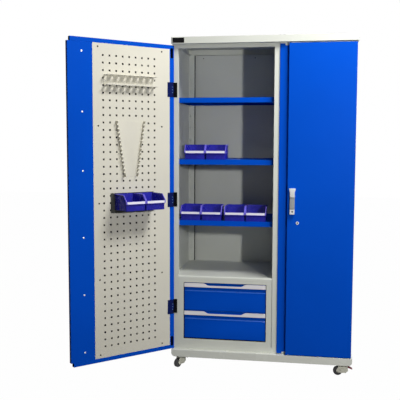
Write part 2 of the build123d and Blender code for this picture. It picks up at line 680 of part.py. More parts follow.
def drawer_handle(z0):
    """A full-width pull strip whose upper edge dips in the middle for the fingers."""
    top = z0 + DRAWER_FRONT_HEIGHT
    low = top - HANDLE_HEIGHT
    centre = (DRAWER_X0 + DRAWER_X1) / 2
    half = HANDLE_DIP_LENGTH / 2
    ramp = HANDLE_DIP_SLOPE
    dip = top - HANDLE_DIP
    edge = Polyline((centre - half - ramp, top), (DRAWER_X0, top), (DRAWER_X0, low), (DRAWER_X1, low))
    edge += Polyline((DRAWER_X1, low), (DRAWER_X1, top), (centre + half + ramp, top))
    edge += Spline((centre + half + ramp, top), (centre + half, dip), tangents=[(-1, 0), (-1, 0)])
    edge += Line((centre + half, dip), (centre - half, dip))
    edge += Spline((centre - half, dip), (centre - half - ramp, top), tangents=[(-1, 0), (-1, 0)])
    plate_y = FRAME_Y - HANDLE_OUT + HANDLE_SHEET
    strip = extrude(Plane.XZ.offset(-plate_y) * make_face(edge), HANDLE_SHEET)
    lean = DRAWER_FACE_Y + FRONT_FOLD_DEPTH
    strip += block(DRAWER_X0, DRAWER_X1, plate_y, lean, low, low + HANDLE_SHEET)
    return strip


# Left door


def hinge_side_cuts():
    """Cuts in the left door's hinge edge: a notch round each hinge's knuckles, and a slot near each end."""
    cuts = []
    near = -HINGE_X + HINGE_BARREL_RADIUS + HINGE_NOTCH_CLEARANCE
    half = HINGE_LENGTH / 2 + HINGE_NOTCH_CLEARANCE
    for z in HINGE_HEIGHTS:
        cuts.append(block(LEFT_DOOR_X0, near, HINGE_Y - HINGE_NOTCH_DEPTH, DOOR_BACK_Y, z - half, z + half))
    slot_x0 = LEFT_DOOR_X0 + BORDER_SLOT_INSET
    slot_x1 = slot_x0 + BORDER_SLOT_WIDTH
    top_slot = DOOR_TOP - BORDER_SLOT_FROM_END - BORDER_SLOT_HEIGHT
    for z in (DOOR_BOTTOM + BORDER_SLOT_FROM_END, top_slot):
        cuts.append(block(slot_x0, slot_x1, DOOR_BACK_Y - DOOR_SHEET, DOOR_BACK_Y, z, z + BORDER_SLOT_HEIGHT))
    return cuts


def left_door_shell():
    """The folded skin of the wide door, open inside its borders."""
    x0 = LEFT_DOOR_X0
    x1 = LEFT_DOOR_X1 - LEFT_STILE_LIP
    shell = block(x0, x1, DOOR_FACE_Y, DOOR_BACK_Y, DOOR_BOTTOM, DOOR_TOP)
    shell -= block(
        x0 + DOOR_SHEET,
        x1,
        DOOR_FACE_Y + DOOR_SHEET,
        DOOR_BACK_Y - DOOR_SHEET,
        DOOR_BOTTOM + DOOR_SHEET,
        DOOR_TOP - DOOR_SHEET,
    )
    shell -= block(PEG_PANEL_X0, x1, DOOR_BACK_Y - DOOR_SHEET, DOOR_BACK_Y, PEG_PANEL_Z0, PEG_PANEL_Z1)
    return shell - hinge_side_cuts()


def left_door_stile():
    """The closed box at the free edge, which stands past the skin as a narrow lip."""
    y0 = DOOR_FACE_Y + DOOR_SHEET
    stile = block(LEFT_STILE_X0, LEFT_DOOR_X1, y0, DOOR_BACK_Y, PEG_PANEL_Z0, PEG_PANEL_Z1)
    return stile - block(
        LEFT_STILE_X0 + DOOR_SHEET,
        LEFT_DOOR_X1 - DOOR_SHEET,
        y0 + DOOR_SHEET,
        DOOR_BACK_Y - DOOR_SHEET,
        PEG_PANEL_Z0 + DOOR_SHEET,
        PEG_PANEL_Z1 - DOOR_SHEET,
    )


def pegboard():
    """The perforated sheet between the stile and the hinge border."""
    width = PEG_PANEL_X1 - PEG_PANEL_X0
    height = PEG_PANEL_Z1 - PEG_PANEL_Z0
    centre_x = (PEG_PANEL_X0 + PEG_PANEL_X1) / 2
    grid = GridLocations(PEG_PITCH, PEG_PITCH, PEG_COLUMNS, PEG_ROWS)
    offset = Pos((PEG_X0 + PEG_X1) / 2 - centre_x, 0)
    sheet = Rectangle(width, height) - [offset * place * Rectangle(PEG_HOLE, PEG_HOLE) for place in grid]
    plane = Plane(origin=(centre_x, DOOR_BACK_Y, DOOR_MIDDLE), x_dir=(1, 0, 0), z_dir=(0, -1, 0))
    panel = extrude(plane * sheet, DOOR_SHEET)
    flange_y = DOOR_BACK_Y - DOOR_THICKNESS / 2
    for x0 in (PEG_PANEL_X0, PEG_PANEL_X1 - DOOR_SHEET):
        panel += block(x0, x0 + DOOR_SHEET, flange_y, DOOR_BACK_Y - DOOR_SHEET, PEG_PANEL_Z0, PEG_PANEL_Z1)
    return panel


def left_door_screws():
    """Low screw heads: two columns on the perforated sheet and one on the stile."""
    places = []
    for x in (PEG_X1 + PANEL_SCREW_FREE_INSET, PEG_X0 - PANEL_SCREW_HINGE_INSET):
        places += [(x, DOOR_MIDDLE + k * PANEL_SCREW_SPACING) for k in (-2, -1, 0, 1, 2)]
    for height in STILE_SCREW_HEIGHTS:
        places += [(LEFT_DOOR_X1 - STILE_SCREW_INSET, DOOR_MIDDLE + side * height) for side in (-1, 1)]
    return [rod(SCREW_RADIUS, (x, DOOR_BACK_Y, z), (x, DOOR_BACK_Y + SCREW_HEAD, z)) for x, z in places]


def tool_rack():
    """A channel rack: two slotted shelves on a back web, the lower one with a front lip."""
    x0 = (PEG_X0 + PEG_X1) / 2 - TOOL_RACK_LENGTH / 2
    x1 = x0 + TOOL_RACK_LENGTH
    z1 = PEG_TOP_Z - TOOL_RACK_ROWS_DOWN * PEG_PITCH
    z0 = z1 - TOOL_RACK_HEIGHT
    y0 = DOOR_BACK_Y
    y1 = y0 + TOOL_RACK_DEPTH
    rack = block(x0, x1, y0, y0 + RACK_SHEET, z0, z1)
    rack += block(x0, x1, y0, y1, z1 - RACK_SHEET, z1)
    rack += block(x0, x1, y0, y1, z0, z0 + RACK_SHEET)
    rack += block(x0, x1, y1 - RACK_SHEET, y1, z0, z0 + TOOL_RACK_LIP)
    slot_y0 = y0 + (TOOL_RACK_DEPTH - TOOL_SLOT_LENGTH) / 2
    pitch = TOOL_RACK_LENGTH / TOOL_RACK_SLOTS
    for i in range(TOOL_RACK_SLOTS):
        middle = x0 + (i + 0.5) * pitch
        rack -= block(
            middle - TOOL_SLOT_WIDTH / 2,
            middle + TOOL_SLOT_WIDTH / 2,
            slot_y0,
            slot_y0 + TOOL_SLOT_LENGTH,
            z0 - OVERCUT,
            z1 + OVERCUT,
        )
    return rack


def toothed_flange(top, bottom):
    """A side flange of the spanner rack, with slanted notches along its front edge."""
    run = Vector(bottom[0] - top[0], 0, bottom[1] - top[1])
    length = run.length
    pitch = length / (SPANNER_TEETH + 1)
    edge = [(0, 0), (0, SPANNER_DEPTH)]
    for i in range(SPANNER_TEETH):
        start = (i + 0.4) * pitch
        floor = SPANNER_DEPTH - SPANNER_TOOTH_DEPTH
        edge += [
            (start, SPANNER_DEPTH),
            (start + 0.42 * pitch, floor),
            (start + 0.7 * pitch, floor + SPANNER_TOOTH_RISE),
            (start + 0.6 * pitch, SPANNER_DEPTH),
        ]
    edge += [(length, SPANNER_DEPTH), (length, 0)]
    normal = run.cross(Vector(0, 1, 0))
    plane = Plane(origin=(top[0], DOOR_BACK_Y, top[1]), x_dir=run, z_dir=normal)
    return extrude(plane * make_face(Polyline(*edge, close=True)), RACK_SHEET / 2, both=True)


def spanner_rack():
    """A tapered plate with a toothed flange on each side."""
    centre = (PEG_X0 + PEG_X1) / 2
    z1 = PEG_TOP_Z - SPANNER_ROWS_DOWN * PEG_PITCH
    z0 = z1 - SPANNER_HEIGHT
    top = SPANNER_TOP_WIDTH / 2
    bottom = SPANNER_BOTTOM_WIDTH / 2
    corners = [(centre - top, z1), (centre + top, z1), (centre + bottom, z0), (centre - bottom, z0)]
    plate_y = DOOR_BACK_Y + RACK_SHEET
    rack = slab(corners, Plane.XZ.offset(-plate_y), RACK_SHEET)
    rack += toothed_flange(corners[0], corners[3])
    rack += toothed_flange(corners[1], corners[2])
    return rack


def storage_bin():
    """An open-fronted bin, its front towards -Y, standing on Z = 0 and centred on X = 0."""
    half = BIN_BODY_WIDTH / 2
    label_low = BIN_FRONT_HEIGHT - BIN_LABEL_HEIGHT
    outline = [
        (BIN_FRONT_INSET, 0),
        (BIN_FRONT_INSET, label_low - BIN_FRONT_INSET),
        (0, label_low),
        (0, BIN_FRONT_HEIGHT),
        (BIN_MOUTH_RUN, BIN_HEIGHT),
        (BIN_LENGTH, BIN_HEIGHT),
        (BIN_LENGTH, 0),
    ]
    wall = BIN_WALL
    hollow = [
        (BIN_FRONT_INSET + wall, wall),
        (BIN_FRONT_INSET + wall, label_low - BIN_FRONT_INSET + wall / 2),
        (wall, label_low + wall / 2),
        (wall, BIN_HEIGHT + OVERCUT),
        (BIN_LENGTH - wall, BIN_HEIGHT + OVERCUT),
        (BIN_LENGTH - wall, wall),
    ]
    tub = slab(outline, Plane.YZ.offset(-half), BIN_BODY_WIDTH)
    tub -= slab(hollow, Plane.YZ.offset(-half + wall), BIN_BODY_WIDTH - 2 * wall)
    slope = [
        (0, BIN_FRONT_HEIGHT),
        (BIN_MOUTH_RUN, BIN_HEIGHT),
        (BIN_LENGTH, BIN_HEIGHT),
        (BIN_LENGTH, BIN_HEIGHT - 2 * wall),
        (BIN_MOUTH_RUN + wall, BIN_HEIGHT - 2 * wall),
        (2 * wall, BIN_FRONT_HEIGHT - wall / 2),
        (2 * wall, label_low),
        (0, label_low),
    ]
    rim = (BIN_WIDTH - BIN_BODY_WIDTH) / 2
    tub += slab(slope, Plane.YZ.offset(-BIN_WIDTH / 2), rim)
    tub += slab(slope, Plane.YZ.offset(half), rim)
    return tub


def bin_plate():
    """The steel plate behind the door's bins, on the perforated sheet."""
    return block(
        BIN_PLATE_X1 - BIN_PLATE_LENGTH,
        BIN_PLATE_X1,
        DOOR_BACK_Y,
        DOOR_BACK_Y + BIN_PLATE_THICKNESS,
        BIN_PLATE_Z1 - BIN_PLATE_HEIGHT,
        BIN_PLATE_Z1,
    )


def door_bins():
    """Two bins whose backs lie on the plate and whose mouths face into the cabinet."""
    y = DOOR_BACK_Y + BIN_PLATE_THICKNESS + BIN_LENGTH
    return [Pos(x, y, DOOR_BIN_Z) * Rot(0, 0, 180) * storage_bin() for x in DOOR_BIN_CENTRES]


def shelf_bins():
    """Six bins standing on the middle and lower shelves."""
    return [Pos(x + BIN_WIDTH / 2, SHELF_BIN_Y, z) * storage_bin() for z, x in SHELF_BINS]


# Hinges, modelled at the left and mirrored for the right door


def knuckles(z):
    """Lower ends of a hinge's three knuckles, and their length."""
    length = (HINGE_LENGTH - 2 * KNUCKLE_GAP) / 3
    low = z - HINGE_LENGTH / 2
    return [low, low + length + KNUCKLE_GAP, low + 2 * (length + KNUCKLE_GAP)], length


def barrel(radius, z0, z1):
    """A round bar on the hinge line."""
    return rod(radius, (-HINGE_X, HINGE_Y, z0), (-HINGE_X, HINGE_Y, z1))


def frame_leaf(z):
    """The leaf on the post, with webs out to its two end knuckles, and the pin."""
    starts, length = knuckles(z)
    x0 = LEFT_DOOR_X0
    leaf = block(x0, x0 + FRAME_LEAF_WIDTH, FRAME_Y - HINGE_LEAF, FRAME_Y, starts[0], starts[2] + length)
    web_x0 = -HINGE_X - HINGE_LEAF / 2
    for start in (starts[0], starts[2]):
        leaf += block(web_x0, web_x0 + HINGE_LEAF, HINGE_Y, FRAME_Y, start, start + length)
        leaf += barrel(HINGE_BARREL_RADIUS, start, start + length)
    return leaf + barrel(HINGE_PIN_RADIUS, starts[0], starts[2] + length)


def door_leaf(z):
    """The leaf on the door's inner face, with the middle knuckle in the door's notch."""
    starts, length = knuckles(z)
    high = starts[2] + length
    x0 = -HINGE_X + HINGE_BARREL_RADIUS + HINGE_NOTCH_CLEARANCE
    back = DOOR_BACK_Y + HINGE_LEAF
    leaf = block(x0, LEFT_DOOR_X0 + DOOR_LEAF_WIDTH, DOOR_BACK_Y, back, starts[0], high)
    leaf += block(-HINGE_X, x0, HINGE_Y, back, starts[1], starts[1] + length)
    leaf += barrel(HINGE_BARREL_RADIUS, starts[1], starts[1] + length)
    return leaf - barrel(HINGE_PIN_RADIUS + RUNNING_CLEARANCE, starts[0], high)


def hinge_frame_leaves():
    """The frame leaves of both doors."""
    left = [frame_leaf(z) for z in HINGE_HEIGHTS]
    return left + [mirror(leaf, about=Plane.YZ) for leaf in left]


def door_leaves(side):
    """The door leaves of one door. side is -1 or 1."""
    leaves = [door_leaf(z) for z in HINGE_HEIGHTS]
    return leaves if side < 0 else [mirror(leaf, about=Plane.YZ) for leaf in leaves]


# Right door


def right_door_shell():
    """The folded skin of the narrow door, open inside its borders."""
    x0 = RIGHT_DOOR_X0
    x1 = RIGHT_DOOR_X1
    shell = block(x0, x1, DOOR_FACE_Y, DOOR_BACK_Y, DOOR_BOTTOM, DOOR_TOP)
    shell -= block(
        x0 + DOOR_SHEET,
        x1 - DOOR_SHEET,
        DOOR_FACE_Y + DOOR_SHEET,
        DOOR_BACK_Y - DOOR_SHEET,
        DOOR_BOTTOM + DOOR_SHEET,
        DOOR_TOP - DOOR_SHEET,
    )
    shell -= block(
        x0 + RIGHT_STILE_WIDTH,
        x1 - HINGE_BORDER,
        DOOR_BACK_Y - DOOR_SHEET,
        DOOR_BACK_Y,
        PEG_PANEL_Z0,
        PEG_PANEL_Z1,
    )
    shell -= [mirror(cut, about=Plane.YZ) for cut in hinge_side_cuts()]
    round_lock_hole = (ROUND_LOCK_BARREL, ROUND_LOCK_X, ROUND_LOCK_Z)
    for radius, x, z in ((SPINDLE_RADIUS, HANDLE_X, PIVOT_Z), round_lock_hole):
        shell -= rod(radius + RUNNING_CLEARANCE, (x, FRONT_Y, z), (x, COVER_Y, z))
    half = ROD_WIDTH / 2 + ROD_CLEARANCE
    for x, z0, z1 in (
        (UPPER_ROD_X, DOOR_TOP - DOOR_SHEET, DOOR_TOP),
        (LOWER_ROD_X, DOOR_BOTTOM, DOOR_BOTTOM + DOOR_SHEET),
    ):
        shell -= block(x - half, x + half, ROD_Y0 - ROD_CLEARANCE, ROD_Y1 + ROD_CLEARANCE, z0, z1)
    return shell


def right_door_stile():
    """The web behind the lock gear, with ribs that guide the two rods."""
    x1 = RIGHT_DOOR_X0 + RIGHT_STILE_WIDTH
    skin = DOOR_FACE_Y + DOOR_SHEET
    stile = block(x1 - DOOR_SHEET, x1, skin, COVER_Y, PEG_PANEL_Z0, PEG_PANEL_Z1)
    half = ROD_WIDTH / 2 + ROD_CLEARANCE
    for height in ROD_GUIDE_HEIGHTS:
        for x, z in ((UPPER_ROD_X, DOOR_MIDDLE + height), (LOWER_ROD_X, DOOR_MIDDLE - height)):
            high = z + 2 * DOOR_SHEET
            rib = block(RIGHT_DOOR_X0 + DOOR_SHEET, x1 - DOOR_SHEET, skin, COVER_Y, z, high)
            stile += rib - block(x - half, x + half, ROD_Y0 - ROD_CLEARANCE, ROD_Y1 + ROD_CLEARANCE, z, high)
    return stile


def meeting_strip():
    """The strip behind the doors' meeting edges, which the left door closes against."""
    x0 = RIGHT_DOOR_X0 - MEETING_STRIP_REACH
    y0 = DOOR_BACK_Y + MEETING_STRIP_CLEARANCE
    y1 = y0 + SHEET
    x1 = RIGHT_DOOR_X0 + MEETING_STRIP_HOLD
    strip = block(x0, x1, y0, y1, DOOR_BOTTOM, DOOR_TOP)
    strip += block(RIGHT_DOOR_X0 + 2 * SHEET, x1, DOOR_BACK_Y, y0, PEG_PANEL_Z0, PEG_PANEL_Z1)
    notch = (RIGHT_DOOR_X0 - STRIP_NOTCH_WIDTH, RIGHT_DOOR_X0, y0, y1)
    strip -= block(*notch, DOOR_BOTTOM, DOOR_BOTTOM + STRIP_NOTCH_HEIGHT)
    strip -= block(*notch, DOOR_TOP - STRIP_NOTCH_HEIGHT, DOOR_TOP)
    return strip


def handle_housing():
    """The back plate of the door handle, with the raised block that holds the key plug."""
    half = HOUSING_WIDTH / 2
    plate = block(HANDLE_X - half, HANDLE_X + half, HOUSING_FACE_Y, DOOR_FACE_Y, HOUSING_Z0, HOUSING_Z1)
    face = HOUSING_FACE_Y - LOCK_BLOCK_DEPTH
    top = HOUSING_Z0 + LOCK_BLOCK_LENGTH
    plate += block(HANDLE_X - half, HANDLE_X + half, face, HOUSING_FACE_Y, HOUSING_Z0, top)
    for radius, z, end in ((SPINDLE_RADIUS, PIVOT_Z, DOOR_FACE_Y), (KEY_PLUG_RADIUS, KEY_Z, HOUSING_FACE_Y)):
        plate -= rod(radius + RUNNING_CLEARANCE, (HANDLE_X, face - OVERCUT, z), (HANDLE_X, end, z))
    return plate


def handle_lever():
    """The swing lever, flared at its pivot end."""
    half = HOUSING_WIDTH / 2
    flare = LEVER_TOP_WIDTH / 2
    low = HOUSING_Z0 + LOCK_BLOCK_LENGTH + LEVER_END_GAP
    neck = HOUSING_Z1 - LEVER_FLARE_LENGTH
    outline = [
        (HANDLE_X - half, low),
        (HANDLE_X - half, neck),
        (HANDLE_X - flare, HOUSING_Z1),
        (HANDLE_X + flare, HOUSING_Z1),
        (HANDLE_X + half, neck),
        (HANDLE_X + half, low),
    ]
    return slab(outline, Plane.XZ.offset(-LEVER_BACK_Y), LEVER_THICKNESS)


def latch_cam():
    """The spindle behind the lever and the disc whose two pins move the rods."""
    spindle = rod(SPINDLE_RADIUS, (HANDLE_X, LEVER_BACK_Y, PIVOT_Z), (HANDLE_X, CAM_Y0, PIVOT_Z))
    disc_radius = CAM_PIN_ORBIT + CAM_PIN_RADIUS + CAM_RIM
    cam = spindle + rod(disc_radius, (HANDLE_X, CAM_Y0, PIVOT_Z), (HANDLE_X, CAM_Y1, PIVOT_Z))
    for turn in (0, 180):
        angle = math.radians(CAM_PIN_ANGLE + turn)
        x = HANDLE_X + CAM_PIN_ORBIT * math.cos(angle)
        z = PIVOT_Z + CAM_PIN_ORBIT * math.sin(angle)
        cam += rod(CAM_PIN_RADIUS, (x, CAM_Y1, z), (x, ROD_Y1 + ROD_CLEARANCE, z))
    return cam


def lock_rod(centre, turn, end):
    """A flat rod with a slotted foot round the cam's pin, which stands at turn degrees on the cam."""
    angle = math.radians(CAM_PIN_ANGLE + turn)
    pin_z = PIVOT_Z + CAM_PIN_ORBIT * math.sin(angle)
    foot = ROD_SLOT_HEIGHT / 2 + ROD_FOOT_WALL
    z0, z1 = sorted((pin_z, end))
    bar = block(centre - ROD_WIDTH / 2, centre + ROD_WIDTH / 2, ROD_Y0, ROD_Y1, z0, z1)
    half = ROD_FOOT_WIDTH / 2
    bar += block(centre - half, centre + half, ROD_Y0, ROD_Y1, pin_z - foot, pin_z + foot)
    side = math.copysign(1, centre - HANDLE_X)
    room = CAM_PIN_RADIUS + ROD_PIN_CLEARANCE
    near = HANDLE_X + CAM_PIN_ORBIT * math.cos(angle) - side * room
    far = HANDLE_X + side * (CAM_PIN_ORBIT + room)
    x0, x1 = sorted((near, far))
    return bar - block(x0, x1, ROD_Y0, ROD_Y1, pin_z - ROD_SLOT_HEIGHT / 2, pin_z + ROD_SLOT_HEIGHT / 2)


def handle_key_plug():
    """The key plug in the handle's block, with its key slot."""
    face = HOUSING_FACE_Y - LOCK_BLOCK_DEPTH
    plug = rod(KEY_PLUG_RADIUS, (HANDLE_X, face, KEY_Z), (HANDLE_X, HOUSING_FACE_Y, KEY_Z))
    slot = block(
        HANDLE_X - KEY_SLOT_WIDTH / 2,
        HANDLE_X + KEY_SLOT_WIDTH / 2,
        face,
        face + KEY_SLOT_DEPTH,
        KEY_Z - KEY_SLOT_LENGTH / 2,
        KEY_Z + KEY_SLOT_LENGTH / 2,
    )
    return plug - slot


def round_lock():
    """The separate round lock: face, barrel, key slot and the tongue inside the door."""
    x = ROUND_LOCK_X
    z = ROUND_LOCK_Z
    face = DOOR_FACE_Y - ROUND_LOCK_RIM
    lock = rod(ROUND_LOCK_RADIUS, (x, face, z), (x, DOOR_FACE_Y, z))
    lock += rod(ROUND_LOCK_BARREL, (x, DOOR_FACE_Y, z), (x, CAM_Y0, z))
    low = z - TONGUE_WIDTH / 2
    tip = x - ROUND_LOCK_TONGUE
    lock += block(tip, x + ROUND_LOCK_BARREL, CAM_Y0 - TONGUE_THICKNESS, CAM_Y0, low, low + TONGUE_WIDTH)
    slot_x0 = x - KEY_SLOT_LENGTH / 2
    slot_z0 = z - KEY_SLOT_WIDTH / 2
    slot_x1 = slot_x0 + KEY_SLOT_LENGTH
    return lock - block(slot_x0, slot_x1, face, face + KEY_SLOT_DEPTH, slot_z0, slot_z0 + KEY_SLOT_WIDTH)


# Casters, modelled at the origin with the wheel trailing towards +X


def caster_plate():
    """The top plate with the stud that the fork turns on."""
    half_x = CASTER_PLATE_WIDTH / 2
    half_y = CASTER_PLATE_DEPTH / 2
    plate = block(-half_x, half_x, -half_y, half_y, -CASTER_PLATE_THICKNESS, 0)
    stud_low = -CASTER_PLATE_THICKNESS - SWIVEL_HEIGHT
    return plate + rod(SWIVEL_STUD_RADIUS, (0, 0, stud_low), (0, 0, -CASTER_PLATE_THICKNESS))


def caster_fork():
    """The swivel head, the two cheeks, their cross plate, the pedal's pin and the axle."""
    inner = WHEEL_WIDTH / 2 + WHEEL_SIDE_CLEARANCE
    outer = inner + FORK_SHEET
    cheek_top = (SWIVEL_LOW_Z + SWIVEL_TOP_Z) / 2
    cheek = [
        (-HOOD_X, cheek_top),
        (-HOOD_X - CHEEK_TOE, AXLE_Z + CHEEK_ABOVE_AXLE),
        (-HOOD_X + CHEEK_HEEL, AXLE_Z - CHEEK_BELOW_AXLE),
        (CASTER_TRAIL, AXLE_Z - CHEEK_BELOW_AXLE),
        (CASTER_TRAIL + CHEEK_HEEL, AXLE_Z),
        (SWIVEL_RADIUS, cheek_top),
    ]
    fork = rod(SWIVEL_RADIUS, (0, 0, SWIVEL_LOW_Z), (0, 0, SWIVEL_TOP_Z))
    fork += slab(cheek, Plane.XZ.offset(inner), FORK_SHEET)
    fork += slab(cheek, Plane.XZ.offset(-outer), FORK_SHEET)
    hood_z = SWIVEL_LOW_Z - HOOD_DROP
    fork += block(-HOOD_X - HOOD_TOE, -HOOD_X + CHEEK_HEEL, -inner, inner, hood_z, hood_z + FORK_SHEET)
    bore = SWIVEL_STUD_RADIUS + RUNNING_CLEARANCE
    fork -= rod(bore, (0, 0, SWIVEL_LOW_Z), (0, 0, SWIVEL_TOP_Z))
    fork += rod(PEDAL_PIN_RADIUS, (PEDAL_PIN_X, -outer, PEDAL_PIN_Z), (PEDAL_PIN_X, outer, PEDAL_PIN_Z))
    axle_y = outer + AXLE_END
    return fork + rod(AXLE_RADIUS, (CASTER_TRAIL, -axle_y, AXLE_Z), (CASTER_TRAIL, axle_y, AXLE_Z))


def caster_wheel():
    """The tyred wheel, with a bore for the axle."""
    start = (CASTER_TRAIL, -WHEEL_WIDTH / 2, AXLE_Z)
    end = (CASTER_TRAIL, WHEEL_WIDTH / 2, AXLE_Z)
    wheel = rod(WHEEL_RADIUS, start, end)
    wheel = fillet(wheel.edges().filter_by(GeomType.CIRCLE), TYRE_ROUND)
    return wheel - rod(AXLE_RADIUS + RUNNING_CLEARANCE, start, end)


def brake_pedal():
    """The foot pedal at the leading end of a front caster."""
    half = WHEEL_WIDTH / 2
    inner_x = PEDAL_PIN_X + PEDAL_PIN_RADIUS + PEDAL_WALL
    bend_x = PEDAL_PIN_X - PEDAL_BEND
    tip_x = PEDAL_PIN_X - PEDAL_LENGTH
    tip_z = PEDAL_PIN_Z - PEDAL_TIP_DROP
    reach = PEDAL_PIN_RADIUS + PEDAL_WALL
    outline = [
        (inner_x, PEDAL_PIN_Z - reach),
        (inner_x, PEDAL_PIN_Z + reach),
        (bend_x, PEDAL_PIN_Z + reach),
        (tip_x, tip_z),
        (tip_x, tip_z - PEDAL_THICKNESS),
        (bend_x, PEDAL_PIN_Z - reach),
    ]
    pedal = slab(outline, Plane.XZ.offset(-half), WHEEL_WIDTH)
    bore = PEDAL_PIN_RADIUS + RUNNING_CLEARANCE
    return pedal - rod(bore, (PEDAL_PIN_X, -half, PEDAL_PIN_Z), (PEDAL_PIN_X, half, PEDAL_PIN_Z))


def at_caster(shape, place):
    """Turn a caster piece to its heading and move it under its corner of the base."""
    x, y = CASTER_PLACES[place]
    return Pos(x, y, 0) * Rot(0, 0, CASTER_HEADINGS[place]) * shape


def caster_plates():
    """The four plates, square to the base."""
    return [Pos(x, y, 0) * caster_plate() for x, y in CASTER_PLACES.values()]


def build():
    """Every named piece, as a solid or as a list of separate solids."""
    nodes = {
        "base_frame": base_frame(),
        "floor_panel": floor_panel(),
        "left_side_panel": side_panel(-1),
        "right_side_panel": side_panel(1),
        "back_panel": back_panel(),
        "top_cap": top_cap(),
        "frame_rails": frame_rails(),
        "centre_partition": centre_partition(),
        "badge_plate": badge_plate(),
        "shelf_uprights": shelf_uprights(),
        "shelf_clips": shelf_clips(),
        "lower_shelf": shelf(LEFT_SHELF_X, SHELF_HEIGHTS[0]),
        "middle_shelf": shelf(LEFT_SHELF_X, SHELF_HEIGHTS[1]),
        "top_shelf": shelf(LEFT_SHELF_X, SHELF_HEIGHTS[2]),
        "right_shelves": [shelf(RIGHT_SHELF_X, z) for z in SHELF_HEIGHTS],
        "shelf_bins": shelf_bins(),
        "drawer_housing": drawer_housing(),
        "drawer_deck": drawer_deck(),
        "drawer_rails": drawer_rails(),
        "hinge_frame_leaves": hinge_frame_leaves(),
        "caster_plates": caster_plates(),
        "right_door_shell": right_door_shell(),
        "right_door_stile": right_door_stile(),
        "meeting_strip": meeting_strip(),
        "right_hinge_leaves": door_leaves(1),
        "handle_housing": handle_housing(),
        "handle_lever": handle_lever(),
        "latch_cam": latch_cam(),
        "upper_lock_rod": lock_rod(UPPER_ROD_X, 0, DOOR_TOP + ROD_TOP_REACH),
        "lower_lock_rod": lock_rod(LOWER_ROD_X, 180, DOOR_BOTTOM - ROD_BOTTOM_REACH),
        "handle_key_plug": handle_key_plug(),
        "round_lock": round_lock(),
    }
    for name, z0 in DRAWER_BOTTOMS.items():
        nodes[name + "_tub"] = drawer_tub(z0)
        nodes[name + "_front"] = drawer_front(z0)
        nodes[name + "_handle"] = drawer_handle(z0)
        nodes[name + "_runners"] = drawer_runners(z0)
    left_door = {
        "left_door_shell": [left_door_shell()],
        "left_door_stile": [left_door_stile()],
        "pegboard": [pegboard()],
        "left_door_screws": left_door_screws(),
        "tool_rack": [tool_rack()],
        "spanner_rack": [spanner_rack()],
        "bin_plate": [bin_plate()],
        "door_bins": door_bins(),
        "left_hinge_leaves": door_leaves(-1),
    }
    for name, pieces in left_door.items():
        nodes[name] = [opened(piece) for piece in pieces]
    for place in CASTER_PLACES:
        nodes[place + "_fork"] = at_caster(caster_fork(), place)
        nodes[place + "_wheel"] = at_caster(caster_wheel(), place)
        if place.startswith("front"):
            nodes[place + "_pedal"] = at_caster(brake_pedal(), place)
    return nodes


def main():
    """Write one STEP file for each named piece."""
    os.makedirs("parts", exist_ok=True)
    for name, shape in build().items():
        solids = []
        for piece in shape if isinstance(shape, list) else [shape]:
            solids += piece.solids()
        whole = solids[0] if len(solids) == 1 else Compound(solids)
        export_step(whole, f"parts/{name}.step")


if __name__ == "__main__":
    main()
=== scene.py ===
"""Finishes and fine pieces for a steel tool cabinet with doors, drawers, racks, bins and casters."""

from __future__ import annotations

import json
import logging
import math
from collections.abc import Callable, Iterable, Sequence
from dataclasses import dataclass, field
from enum import Enum

import bmesh
import bpy
from mathutils import Matrix, Vector

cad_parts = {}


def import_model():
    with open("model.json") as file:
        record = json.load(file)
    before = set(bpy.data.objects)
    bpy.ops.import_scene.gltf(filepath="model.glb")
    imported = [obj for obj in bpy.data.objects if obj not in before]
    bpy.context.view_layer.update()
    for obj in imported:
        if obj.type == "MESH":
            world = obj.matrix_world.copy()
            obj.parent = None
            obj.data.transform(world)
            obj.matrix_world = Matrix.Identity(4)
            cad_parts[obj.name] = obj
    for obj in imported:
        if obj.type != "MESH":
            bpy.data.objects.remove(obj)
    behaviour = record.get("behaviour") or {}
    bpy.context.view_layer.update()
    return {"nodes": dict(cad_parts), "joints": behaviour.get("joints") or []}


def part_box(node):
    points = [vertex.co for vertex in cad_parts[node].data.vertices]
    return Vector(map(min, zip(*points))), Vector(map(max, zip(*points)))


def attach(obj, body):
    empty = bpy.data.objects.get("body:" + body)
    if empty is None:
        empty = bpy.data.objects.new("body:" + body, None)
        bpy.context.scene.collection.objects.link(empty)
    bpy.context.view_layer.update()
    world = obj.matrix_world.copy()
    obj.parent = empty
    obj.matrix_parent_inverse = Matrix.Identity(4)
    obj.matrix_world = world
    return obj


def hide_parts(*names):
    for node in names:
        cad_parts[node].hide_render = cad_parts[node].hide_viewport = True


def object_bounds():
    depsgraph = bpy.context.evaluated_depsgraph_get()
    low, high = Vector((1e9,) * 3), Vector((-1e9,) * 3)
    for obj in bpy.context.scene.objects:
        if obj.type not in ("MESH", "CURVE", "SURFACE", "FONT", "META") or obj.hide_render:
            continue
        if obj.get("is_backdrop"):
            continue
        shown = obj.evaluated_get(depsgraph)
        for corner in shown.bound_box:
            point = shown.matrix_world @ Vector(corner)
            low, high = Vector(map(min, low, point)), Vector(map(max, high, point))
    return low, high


MM = 0.001
FULL_TURN = 2 * math.pi
QUARTER_TURN = math.pi / 2
# A face looks squarely along a direction when its normal has more than this share of it.
SQUARE_ON = 0.9
LOG = logging.getLogger("tool_cabinet")

Colour = tuple[float, float, float]
Point = tuple[float, float]
Form = bmesh.types.BMesh
Piece = bpy.types.Object
Face = bpy.types.MeshPolygon
Socket = bpy.types.NodeSocket


class Sheen(Enum):
    """How glossy a finish is, as the roughness of its surface."""

    MATT = 0.62
    SATIN = 0.40
    GLOSSY = 0.24
    POLISHED = 0.14

    def around(self, less: float, more: float) -> tuple[float, float]:
        """The roughness a little below and a little above the finish's own."""
        return self.value - less, self.value + more


# Finishes


